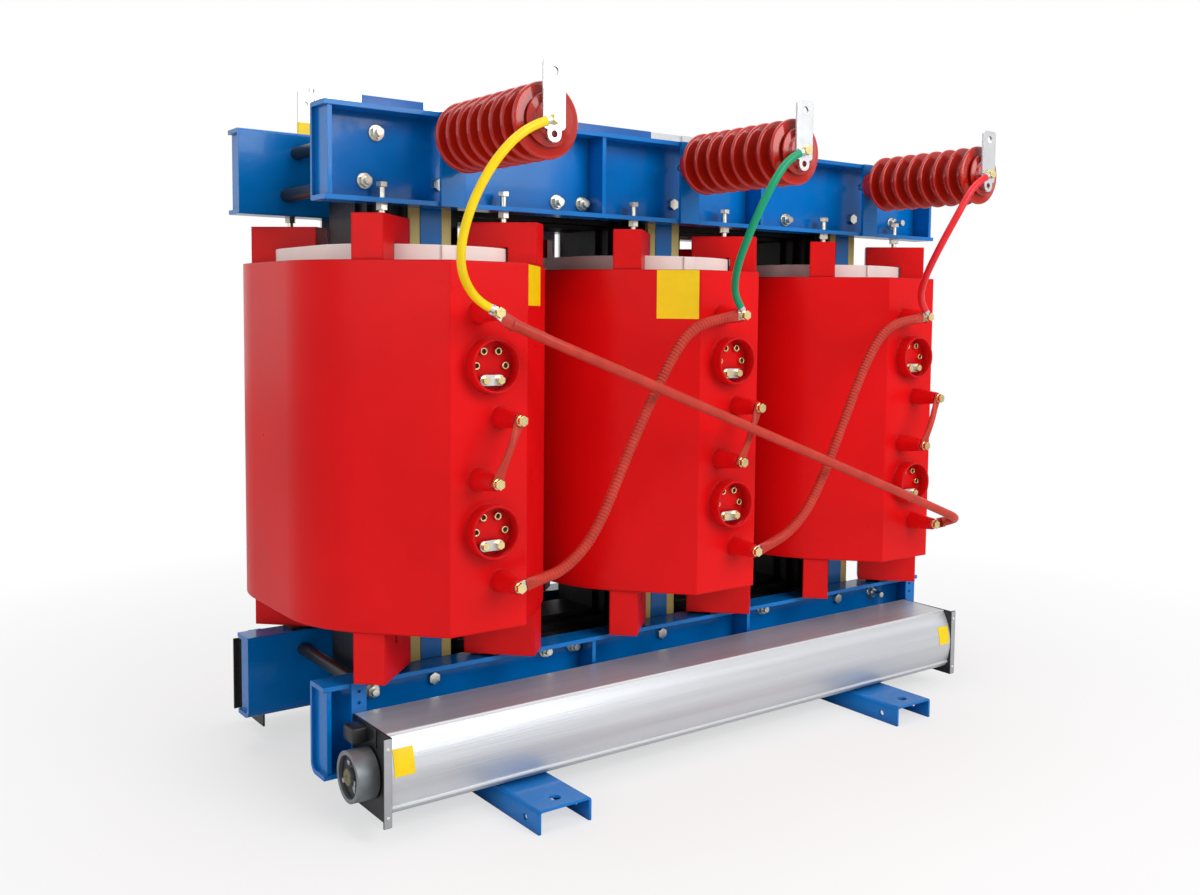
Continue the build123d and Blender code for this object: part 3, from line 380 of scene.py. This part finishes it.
for name, (look, slot, length, points) in LEADS.items():
    data = spline_curve("lead_" + name, points, 24)
    data.bevel_depth = LEAD_DIAMETER / 2
    data.bevel_resolution = 8
    data.use_fill_caps = True
    data.materials.append(look)
    lead = bpy.data.objects.new("lead_" + name, data)
    bpy.context.scene.collection.objects.link(lead)
    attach(lead, BODY)
    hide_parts("phase_lead_" + name)


# ------------------------------------------------------------------ places read from the frame
coils = {name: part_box("hv_coil_" + name) for name in "abc"}
limb_x = {name: (low.x + high.x) / 2 for name, (low, high) in coils.items()}
post_tip_y = coils["a"][0].y
POST_LENGTH = 0.072
board_y = post_tip_y + POST_LENGTH
coil_mid_z = (coils["a"][0].z + coils["a"][1].z) / 2
coil_high_z = coils["a"][1].z
coil_low_z = coils["a"][0].z
rods_low, rods_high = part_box("post_insulators")
rod_z = (rods_low.z + rods_high.z) / 2

# ------------------------------------------------------------------ insulators with rounded sheds
SHED_FIRST, SHED_PITCH, SHED_COUNT, SHED_RADIUS = 0.057, 0.042, 8, 0.0715
insulators = Piece()
outline = [(0.0, 0.0), (0.0, 0.034), (0.0015, 0.036), (0.014, 0.036), (0.020, 0.040)]
for i in range(SHED_COUNT):
    y = SHED_FIRST + i * SHED_PITCH
    outline += [(y - 0.0195, 0.0405), (y - 0.0165, 0.0435), (y - 0.0060, 0.0660), (y - 0.0035, 0.0700),
                (y - 0.0010, SHED_RADIUS), (y + 0.0018, SHED_RADIUS - 0.0004), (y + 0.0038, 0.0690),
                (y + 0.0050, 0.0650), (y + 0.0062, 0.0480), (y + 0.0085, 0.0425), (y + 0.0125, 0.0403)]
last = SHED_FIRST + (SHED_COUNT - 1) * SHED_PITCH
outline += [(last + 0.0130, 0.0485), (last + 0.0140, 0.0500), (last + 0.0160, 0.0500),
            (last + 0.0170, 0.0488), (last + 0.0170, 0.0352), (last + 0.0180, 0.0340),
            (last + 0.0250, 0.0340), (last + 0.0260, 0.0330), (last + 0.0260, 0.0)]
for x in limb_x.values():
    insulators.lathe((x, rods_high.y, rod_z), (0, -1, 0), outline, segments=72)
insulators.finish("shedded_insulators", insulator_resin, "insulator_resin", replaces=("post_insulators",),
                  sharp=0.9)

# ------------------------------------------------------------------ brass inserts, their bores closed by dark discs of painted shade
RING_OFFSET, INSERT_CIRCLE, INSERT_COUNT = 0.167, 0.0335, 6
INSERT_PROFILE = [(0.0, 0.0080), (0.0072, 0.0080), (0.0080, 0.0072), (0.0080, 0.0056), (0.0072, 0.0048),
                  (0.0015, 0.0048)]
# A flat disc just inside each insert's bore, coloured dark as painted shade for the depth of the hole.
BORE_SHADE_PROFILE = [(0.0016, 0.0049), (0.0017, 0.0)]
inserts, bore_shades = Piece(), Piece()
for x in limb_x.values():
    for side in (-1, 1):
        for k in range(INSERT_COUNT):
            a = radians(360 * k / INSERT_COUNT)
            centre = (x + INSERT_CIRCLE * cos(a), board_y,
                      coil_mid_z + side * RING_OFFSET + INSERT_CIRCLE * sin(a))
            inserts.lathe(centre, (0, -1, 0), INSERT_PROFILE, segments=28)
            bore_shades.lathe(centre, (0, -1, 0), BORE_SHADE_PROFILE, segments=28)
inserts.finish("tap_inserts_bored", brass, "brass", replaces=("tap_inserts",))
bore_shades.finish("tap_insert_bore_shades", bore_shade, "black_rubber")


# ------------------------------------------------------------------ delta links in their sleeves
SWEEP_STEP, SWEEP_SEGMENTS = 0.0010, 26


def flat_ended_tube(piece, line, radius, ends, end_half=(0.0130, 0.0034), rib=0.0, pitch=0.01, both=True):
    """Sweeps a round sleeve that flattens over the lug at its start, or at both ends.

    ends is the length of the flattening, end_half the half width and half thickness of the flat end,
    and rib the height of the ribs, which stand a pitch apart.
    """
    steps = [0.0]
    for a, b in zip(line, line[1:]):
        steps.append(steps[-1] + (b - a).length)
    total = steps[-1]
    count = int(total / SWEEP_STEP)
    rings, verts, faces = [], [], []
    k = 0
    for i in range(count + 1):
        s = total * i / count
        while k < len(steps) - 2 and steps[k + 1] < s:
            k += 1
        share = (s - steps[k]) / max(1e-9, steps[k + 1] - steps[k])
        here = line[k].lerp(line[k + 1], share)
        ahead = (line[k + 1] - line[k]).normalized()
        out = Vector((0, -1, 0))
        out = (out - ahead * out.dot(ahead)).normalized()
        wide = ahead.cross(out)
        near = min(s, total - s) if both else s
        flat = max(0.0, 1 - near / ends)
        flat = flat * flat * (3 - 2 * flat)
        ridge = rib * abs(sin(pi * s / pitch)) * (1 - flat)
        half_wide = radius + (end_half[0] - radius) * flat + ridge
        half_thick = radius + (end_half[1] - radius) * flat + ridge
        ring = []
        for j in range(SWEEP_SEGMENTS):
            a = 2 * pi * j / SWEEP_SEGMENTS
            ring.append(len(verts))
            verts.append(here + wide * cos(a) * half_wide + out * sin(a) * half_thick)
        rings.append(ring)
    for low, high in zip(rings, rings[1:]):
        for j in range(SWEEP_SEGMENTS):
            n = (j + 1) % SWEEP_SEGMENTS
            faces.append((low[j], high[j], high[n], low[n]))
    faces.append(tuple(reversed(rings[0])))
    faces.append(tuple(rings[-1]))
    piece.add(verts, faces)


SLEEVED = {
    "ba": [(-0.043, -0.5125, 1.037), (-0.064, -0.513, 1.035), (-0.172, -0.508, 1.012),
           (-0.236, -0.500, 0.925), (-0.335, -0.500, 0.750), (-0.418, -0.500, 0.578),
           (-0.500, -0.504, 0.512), (-0.576, -0.513, 0.501), (-0.597, -0.5125, 0.4952)],
    "cb": [(0.597, -0.5125, 1.0362), (0.576, -0.513, 1.034), (0.466, -0.509, 1.016),
           (0.398, -0.500, 0.925), (0.318, -0.500, 0.765), (0.225, -0.500, 0.590),
           (0.145, -0.503, 0.524), (0.064, -0.513, 0.502), (0.043, -0.5125, 0.4955)],
}
for name, points in SLEEVED.items():
    sleeve = Piece()
    flat_ended_tube(sleeve, smooth_line("line_" + name, points), radius=0.0098, ends=0.040, rib=0.0022,
                    pitch=0.0080)
    sleeve.finish("link_sleeve_" + name, link_vinyl, "link_sleeve", sharp=1.2,
                  replaces=("delta_link_" + name,))

BOOT_LINE = [(-0.6530, -0.5103, 1.0296), (-0.632, -0.5140, 1.0160), (-0.597, -0.5244, 1.0004),
             (-0.572, -0.5319, 0.9892)]
boot = Piece()
flat_ended_tube(boot, smooth_line("boot_line", BOOT_LINE), radius=0.0117, ends=0.046,
                end_half=(0.0138, 0.0037), both=False)
boot.finish("link_sleeve_end_ac", link_vinyl, "link_sleeve", sharp=1.2)

# ------------------------------------------------------------------ sleeved jumpers, flat at both eyes
POST_X, POST_Z = 0.026, 0.061
JUMPER_LIFT, JUMPER_BOW = 0.0032, Vector((0, -0.0035, 0))
EYE_REACH, EYE_LENGTH = 0.009, 0.020
jumpers = Piece()
for x in limb_x.values():
    low = Vector((x - POST_X, post_tip_y - JUMPER_LIFT, coil_mid_z - POST_Z))
    high = Vector((x + POST_X, post_tip_y - JUMPER_LIFT, coil_mid_z + POST_Z))
    along = (high - low).normalized()
    line = [low - along * EYE_REACH, low + along * EYE_LENGTH, (low + high) / 2 + JUMPER_BOW,
            high - along * EYE_LENGTH, high + along * EYE_REACH]
    flat_ended_tube(jumpers, smooth_line("jumper_line", line), radius=0.0076, ends=0.066,
                    end_half=(0.0124, 0.0030))
jumpers.finish("jumper_sleeves", link_vinyl, "link_sleeve", sharp=1.2, replaces=("tap_jumpers",))

# ------------------------------------------------------------------ ribbed supports of the low voltage bars
PLATE_FACE, SUPPORT_RADIUS, SUPPORT_RIBS, RIB_INSET = 0.288, 0.024, 5, 0.024
BAR_OFFSET_X, PHASE_BAR_FACE, NEUTRAL_BAR_FACE = 0.028, 0.436, 0.468
phase_bar_x = {name: x + (BAR_OFFSET_X if name == "c" else -BAR_OFFSET_X) for name, x in limb_x.items()}
supports = Piece()
for name, x in limb_x.items():
    for bar_x, end_y in ((phase_bar_x[name], PHASE_BAR_FACE), (2 * x - phase_bar_x[name], NEUTRAL_BAR_FACE)):
        reach = end_y - PLATE_FACE
        profile = [(0.0, 0.0), (0.0, 0.0200), (0.0010, 0.0210), (0.016, 0.0200)]
        for k in range(SUPPORT_RIBS):
            y = RIB_INSET + (reach - 2 * RIB_INSET) * k / (SUPPORT_RIBS - 1)
            profile += [(y - 0.0060, 0.0186), (y - 0.0022, 0.0234), (y, SUPPORT_RADIUS),
                        (y + 0.0022, 0.0234), (y + 0.0060, 0.0186)]
        profile += [(reach - 0.012, 0.0200), (reach - 0.001, 0.0200), (reach, 0.0190), (reach, 0.0)]
        supports.lathe((bar_x, PLATE_FACE, rod_z), (0, 1, 0), profile, segments=40)
supports.finish("lv_ribbed_supports", block_resin, "red_resin", sharp=0.9,
                replaces=("lv_support_insulators",))

# ------------------------------------------------------------------ coloured sleeves on the low voltage bars
BLUE_SECTIONS_X = ((-0.500, -0.318), (0.165, 0.471))
SLEEVE_WALL, SLEEVE_EDGE = 0.0012, 0.002
BAR_SLEEVE_HALF, BAR_SLEEVE_Y, BAR_SLEEVE_Z = 0.0212, (0.4348, 0.4452), (1.326, 1.512)
bar_low, bar_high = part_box("neutral_busbar")
blue_sections = Piece()
for start, end in BLUE_SECTIONS_X:
    blue_sections.slab((start, bar_low.y - SLEEVE_WALL, bar_low.z - SLEEVE_WALL),
                       (end, bar_high.y + SLEEVE_WALL, bar_high.z + SLEEVE_WALL), bevel=SLEEVE_EDGE)
blue_sections.finish("busbar_blue_sleeves", blue_vinyl, "black_rubber")
for name, x in phase_bar_x.items():
    look, slot = LEADS[name][:2]
    sleeve = Piece()
    sleeve.slab((x - BAR_SLEEVE_HALF, BAR_SLEEVE_Y[0], BAR_SLEEVE_Z[0]),
                (x + BAR_SLEEVE_HALF, BAR_SLEEVE_Y[1], BAR_SLEEVE_Z[1]), bevel=SLEEVE_EDGE)
    sleeve.finish("bar_sleeve_" + name, look, slot)

# ------------------------------------------------------------------ washers under the clamp nuts
WEB_UPPER, WEB_LOWER = 0.218, 0.195
UPPER_STUDS = [(-0.807, 1.303), (-0.781, 1.402), (-0.339, 1.290), (-0.269, 1.290), (0.269, 1.290),
               (0.385, 1.290), (0.781, 1.402), (0.807, 1.303)]
LOWER_STUDS = [(-0.785, 0.231), (-0.348, 0.246), (-0.269, 0.246), (0.269, 0.246), (0.348, 0.246),
               (0.785, 0.231)]
WASHER_PROFILE = [(0.0, 0.0085), (0.0, 0.0168), (0.0022, 0.0168), (0.0028, 0.0160), (0.0028, 0.0085)]
washers = Piece()
for places, web in ((UPPER_STUDS, WEB_UPPER), (LOWER_STUDS, WEB_LOWER)):
    for x, z in places:
        for side in (-1, 1):
            washers.lathe((x, side * web, z), (0, side, 0), WASHER_PROFILE, segments=36)
washers.finish("stud_washers", zinc, "zinc_steel")

# ------------------------------------------------------------------ barrier tubes, rolled from lapped sheet
COIL_OFFSET, BARRIER_RADIUS, BARRIER_WALL = 0.105, 0.218, 0.005
BARRIER_EDGE, BARRIER_FOOT, HALF_TURN_STEPS = 0.001, 0.004, 48
SEAM_X, SEAM_DROP = (-0.045, -0.015), 0.02
tube_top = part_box("barrier_cylinders")[1].z
tube_foot = coil_low_z + BARRIER_FOOT
inner_radius = BARRIER_RADIUS - BARRIER_WALL
tube_section = [(BARRIER_RADIUS, tube_foot), (BARRIER_RADIUS, tube_top - BARRIER_EDGE),
                (BARRIER_RADIUS - BARRIER_EDGE, tube_top), (inner_radius + BARRIER_EDGE, tube_top),
                (inner_radius, tube_top - BARRIER_EDGE), (inner_radius, tube_foot)]
tubes = Piece()
for x in limb_x.values():
    loops = []
    for radius, z in tube_section:
        loop = []
        for end in (-1, 1):
            for i in range(HALF_TURN_STEPS + 1):
                a = pi * i / HALF_TURN_STEPS
                loop.append((x + end * radius * cos(a), end * (COIL_OFFSET + radius * sin(a)), z))
        loops.append(loop)
    count = len(loops[0])
    verts = [point for loop in loops for point in loop]
    faces = []
    for k in range(len(loops)):
        n = (k + 1) % len(loops)
        for i in range(count):
            j = (i + 1) % count
            faces.append((k * count + i, k * count + j, n * count + j, n * count + i))
    tubes.add(verts, faces)
    front = -COIL_OFFSET - BARRIER_RADIUS
    tubes.slab((x + SEAM_X[0], front - 0.0012, coil_high_z - SEAM_DROP),
               (x + SEAM_X[1], front + 0.0030, tube_top - 0.0005), bevel=0.0004)
tubes.finish("barrier_tubes", ivory, "barrier_sheet", replaces=("barrier_cylinders",))

# ------------------------------------------------------------------ plain colour fields in place of stickers
BOARD_HALF, TANGENT_X, TANGENT_Y = 0.089, 0.2144, -0.3002
BOW_MIDDLE_Y, BOW_MIDDLE_Z, BOW_RADIUS, BOW_ROWS = -0.28936, 0.12442, 0.14456, 8
fields = Piece()


def wedge_field(x, side, shares, heights):
    """Plain field on the flat between the terminal board and the round of a coil.

    shares is where it starts and ends across that flat, from the board's edge.
    """
    (s0, s1), (z0, z1) = shares, heights
    corners = []
    along = Vector((side * (TANGENT_X - BOARD_HALF), TANGENT_Y - board_y, 0))
    out = Vector((side * -along.y, side * along.x, 0)).normalized()
    if out.y > 0:
        out = -out
    for lift in (0.0002, 0.0009):
        for s, z in ((s0, z0), (s1, z0), (s1, z1), (s0, z1)):
            corners.append(Vector((x + side * BOARD_HALF, board_y, z)) + along * s + out * lift)
    fields.add(corners, [(4, 5, 6, 7), (0, 1, 5, 4), (1, 2, 6, 5), (2, 3, 7, 6), (3, 0, 4, 7), (3, 2, 1, 0)])


def bow_field(ends, heights):
    """Plain field that follows the bowed front of the fan housing, as a thin shell."""
    low, high = heights
    verts, faces = [], []
    for lift in (0.0002, 0.0008):
        reach = BOW_RADIUS + lift
        for i in range(BOW_ROWS + 1):
            z = low + (high - low) * i / BOW_ROWS
            a = asin((z - BOW_MIDDLE_Z) / BOW_RADIUS)
            for x in ends:
                verts.append((x, BOW_MIDDLE_Y - reach * cos(a), BOW_MIDDLE_Z + reach * sin(a)))
    top = 2 * (BOW_ROWS + 1)
    for i in range(0, 2 * BOW_ROWS, 2):
        faces.append((top + i, top + i + 1, top + i + 3, top + i + 2))
        faces.append((i + 2, i + 3, i + 1, i))
        if i == 0:
            faces.append((i, i + 1, top + i + 1, top + i))
        else:
            faces.append((i, top + i, top + i + 2, i + 2))
        faces.append((i + 1, i + 3, top + i + 3, top + i + 1))
    fields.add(verts, faces)


wedge_field(limb_x["b"], -1, (0.02, 0.545), (coil_high_z - 0.112, coil_high_z - 0.001))
wedge_field(limb_x["a"], 1, (0.03, 0.78), (coil_high_z - 0.087, coil_high_z - 0.003))
bow_field((-0.847, -0.803), (0.132, 0.184))
bow_field((0.805, 0.846), (0.124, 0.172))
fields.finish("plain_fields", plain_yellow, "yellow_sleeve")


# ------------------------------------------------------------------ fan trim, alike on both fans
STRIP_WIDTH, STRIP_PROUD = 0.0165, 0.0012
LOW_SCREW_INSET, HIGH_SCREW_INSET = 0.020, 0.022
SCREW_PROFILE = [(0.0, 0.0042), (0.0010, 0.0042), (0.0022, 0.0030), (0.0024, 0.0)]
BEADS = (((-0.4266, 0.0655), (-0.4216, 0.0715)), ((-0.4086, 0.2050), (-0.4026, 0.2126)))  # in Y and Z
HUB_PROFILE = [(0.0, 0.0165), (0.0012, 0.0165), (0.0024, 0.0148), (0.0024, 0.006), (0.0008, 0.005),
               (0.0008, 0.0)]
# Flat black ring of painted shade at the bottom of the motor's dished face.
DISH_SHADE_PROFILE = [(0.0, 0.0172), (0.0006, 0.0172), (0.0006, 0.0428), (0.0, 0.0428)]
TAB_CIRCLE, TAB_HALF, TAB_COUNT = 0.030, 0.0045, 3
OUTWARD, FORWARD = Vector((-1, 0, 0)), Vector((0, -1, 0))
FANS = {"front": Matrix.Identity(3), "rear": Matrix.Rotation(pi, 3, "Z")}
house_low, house_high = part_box("fan_front_housing")
plates_low, plates_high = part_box("fan_front_end_plates")
motor_low, motor_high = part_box("fan_front_motor")
axis_y, axis_z = (motor_low.y + motor_high.y) / 2, (motor_low.z + motor_high.z) / 2
motor_x = motor_low.x


def turned_slab(piece, spin, low, high, bevel=0.001):
    """Block given in the place of the front fan, turned to the fan that spin stands for."""
    corners = [spin @ Vector(low), spin @ Vector(high)]
    low, high = [min(pair) for pair in zip(*corners)], [max(pair) for pair in zip(*corners)]
    piece.slab(low, high, bevel=bevel)


def fan_trim(fan, spin):
    strips, screws = Piece(), Piece()
    y = plates_low.y
    for side, outer in ((-1, plates_low.x), (1, plates_high.x)):
        inner = outer - side * STRIP_WIDTH
        turned_slab(strips, spin, (min(inner, outer), y - STRIP_PROUD, plates_low.z + 0.001),
                    (max(inner, outer), y + 0.0002, plates_high.z - 0.001), 0.0005)
        for z in (plates_low.z + LOW_SCREW_INSET, plates_high.z - HIGH_SCREW_INSET):
            centre = Vector(((inner + outer) / 2, y - STRIP_PROUD, z))
            screws.lathe(spin @ centre, spin @ FORWARD, SCREW_PROFILE, segments=20)
    # The beads are real rolled lips, coloured lighter than the sheet they are rolled from as a painted
    # highlight.
    beads = Piece()
    for (low_y, low_z), (high_y, high_z) in BEADS:
        turned_slab(beads, spin, (house_low.x, low_y, low_z), (house_high.x, high_y, high_z), 0.0012)
    beads.finish("housing_beads_" + fan, fan_bead_highlight, "fan_sheet")

    hub = Piece()
    hub.lathe(spin @ Vector((motor_x + 0.0005, axis_y, axis_z)), spin @ OUTWARD, HUB_PROFILE, segments=40)
    hub.finish("motor_hub_" + fan, hub_olive, "motor_grey")
    # Painted shade: a thin black ring laid in the motor's dish to darken it, not a part of its own.
    dish_shade = Piece()
    dish_shade.lathe(spin @ Vector((motor_x + 0.0078, axis_y, axis_z)), spin @ OUTWARD, DISH_SHADE_PROFILE,
                 segments=48)
    dish_shade.finish("motor_dish_shade_" + fan, black_paint, "black_rubber")
    tabs = Piece()
    for k in range(TAB_COUNT):
        a = radians(90 + 360 * k / TAB_COUNT)
        y, z = axis_y + TAB_CIRCLE * cos(a), axis_z + TAB_CIRCLE * sin(a)
        turned_slab(tabs, spin, (motor_x + 0.0012, y - TAB_HALF, z - TAB_HALF),
                    (motor_x + 0.0076, y + TAB_HALF, z + TAB_HALF), 0.0012)
    turned_slab(tabs, spin, (motor_x + 0.0045, axis_y - 0.025, axis_z - 0.026),
                (motor_x + 0.0074, axis_y - 0.017, axis_z - 0.002), 0.0008)
    tabs.finish("motor_tabs_" + fan, pale_plate, "motor_grey")

    capacitor = Piece()
    turned_slab(capacitor, spin, (-0.893, axis_y + 0.004, axis_z + 0.060),
                (-0.858, axis_y + 0.052, axis_z + 0.092), 0.004)
    turned_slab(capacitor, spin, (-0.8595, axis_y - 0.030, axis_z + 0.056),
                (-0.8570, axis_y + 0.056, axis_z + 0.096), 0.001)
    capacitor.finish("motor_capacitor_" + fan, black_paint, "black_rubber")
    strips.finish("end_flange_strips_" + fan, pale_plate, "fan_sheet")
    screws.finish("end_flange_screws_" + fan, zinc, "zinc_steel")


for fan, spin in FANS.items():
    fan_trim(fan, spin)


# ------------------------------------------------------------------ floor, background and lamps
WHITE = (1.0, 1.0, 1.0, 1.0)
FLOOR_HALF, FLOOR_GREY = 14.0, (0.86, 0.86, 0.86, 1.0)
FADE_REACH, FADE_SHARE = (0.9, 2.6), (0.62, 1.0)
AMBIENT = 0.42
LAMP_TARGET = (0.0, 0.0, 0.8)
LAMPS = {  # place, width, height and power in watts
    "key": ((0.8, -4.2, 2.9), 3.0, 2.4, 118),
    "fill": ((-4.4, -1.6, 2.2), 2.4, 2.4, 34),
    "top": ((0.0, 0.4, 4.4), 3.6, 3.0, 70),
}


def set_floor():
    """A grey floor that takes the shadow and, to the camera, turns into the white background further out."""
    mesh = bpy.data.meshes.new("floor")
    half = FLOOR_HALF
    mesh.from_pydata([(-half, -half, 0), (half, -half, 0), (half, half, 0), (-half, half, 0)], [],
                     [(0, 1, 2, 3)])
    floor = bpy.data.objects.new("floor", mesh)
    bpy.context.scene.collection.objects.link(floor)
    material = bpy.data.materials.new("floor_white")
    material.use_nodes = True
    nodes, links = material.node_tree.nodes, material.node_tree.links
    nodes.clear()
    paths = nodes.new("ShaderNodeLightPath")
    matte = nodes.new("ShaderNodeBsdfDiffuse")
    matte.inputs["Color"].default_value = FLOOR_GREY
    glow = nodes.new("ShaderNodeEmission")
    glow.inputs["Color"].default_value = WHITE
    place = nodes.new("ShaderNodeTexCoord")
    reach = nodes.new("ShaderNodeVectorMath")
    reach.operation = "LENGTH"
    links.new(place.outputs["Object"], reach.inputs[0])
    fade = nodes.new("ShaderNodeMapRange")
    fade.inputs["From Min"].default_value, fade.inputs["From Max"].default_value = FADE_REACH
    fade.inputs["To Min"].default_value, fade.inputs["To Max"].default_value = FADE_SHARE
    links.new(reach.outputs["Value"], fade.inputs["Value"])
    part = nodes.new("ShaderNodeMath")
    part.operation = "MULTIPLY"
    links.new(paths.outputs["Is Camera Ray"], part.inputs[0])
    links.new(fade.outputs["Result"], part.inputs[1])
    mix = nodes.new("ShaderNodeMixShader")
    links.new(part.outputs["Value"], mix.inputs["Fac"])
    links.new(matte.outputs["BSDF"], mix.inputs[1])
    links.new(glow.outputs["Emission"], mix.inputs[2])
    out = nodes.new("ShaderNodeOutputMaterial")
    links.new(mix.outputs["Shader"], out.inputs["Surface"])
    mesh.materials.append(material)


def set_world():
    """Plain ambient light, and white to the camera, to reflections and through glass."""
    world = bpy.data.worlds.new("studio")
    world.use_nodes = True
    bpy.context.scene.world = world
    nodes, links = world.node_tree.nodes, world.node_tree.links
    nodes.clear()
    paths = nodes.new("ShaderNodeLightPath")
    ambient = nodes.new("ShaderNodeBackground")
    ambient.inputs["Color"].default_value = WHITE
    ambient.inputs["Strength"].default_value = AMBIENT
    white = nodes.new("ShaderNodeBackground")
    white.inputs["Color"].default_value = WHITE
    white.inputs["Strength"].default_value = 1.0
    first = nodes.new("ShaderNodeMath")
    first.operation = "MAXIMUM"
    links.new(paths.outputs["Is Camera Ray"], first.inputs[0])
    links.new(paths.outputs["Is Glossy Ray"], first.inputs[1])
    second = nodes.new("ShaderNodeMath")
    second.operation = "MAXIMUM"
    links.new(first.outputs["Value"], second.inputs[0])
    links.new(paths.outputs["Is Transmission Ray"], second.inputs[1])
    mix = nodes.new("ShaderNodeMixShader")
    links.new(second.outputs["Value"], mix.inputs["Fac"])
    links.new(ambient.outputs["Background"], mix.inputs[1])
    links.new(white.outputs["Background"], mix.inputs[2])
    out = nodes.new("ShaderNodeOutputWorld")
    links.new(mix.outputs["Shader"], out.inputs["Surface"])


def add_lamp(name, place, width, height, power):
    data = bpy.data.lights.new(name, "AREA")
    data.shape = "RECTANGLE"
    data.size = width
    data.size_y = height
    data.energy = power
    lamp = bpy.data.objects.new(name, data)
    aim = Vector(LAMP_TARGET) - Vector(place)
    lamp.rotation_euler = aim.to_track_quat("-Z", "Y").to_euler()
    lamp.location = place
    bpy.context.scene.collection.objects.link(lamp)


set_floor()
set_world()
for name, (place, width, height, power) in LAMPS.items():
    add_lamp(name, place, width, height, power)
bpy.context.scene.view_settings.view_transform = "Standard"
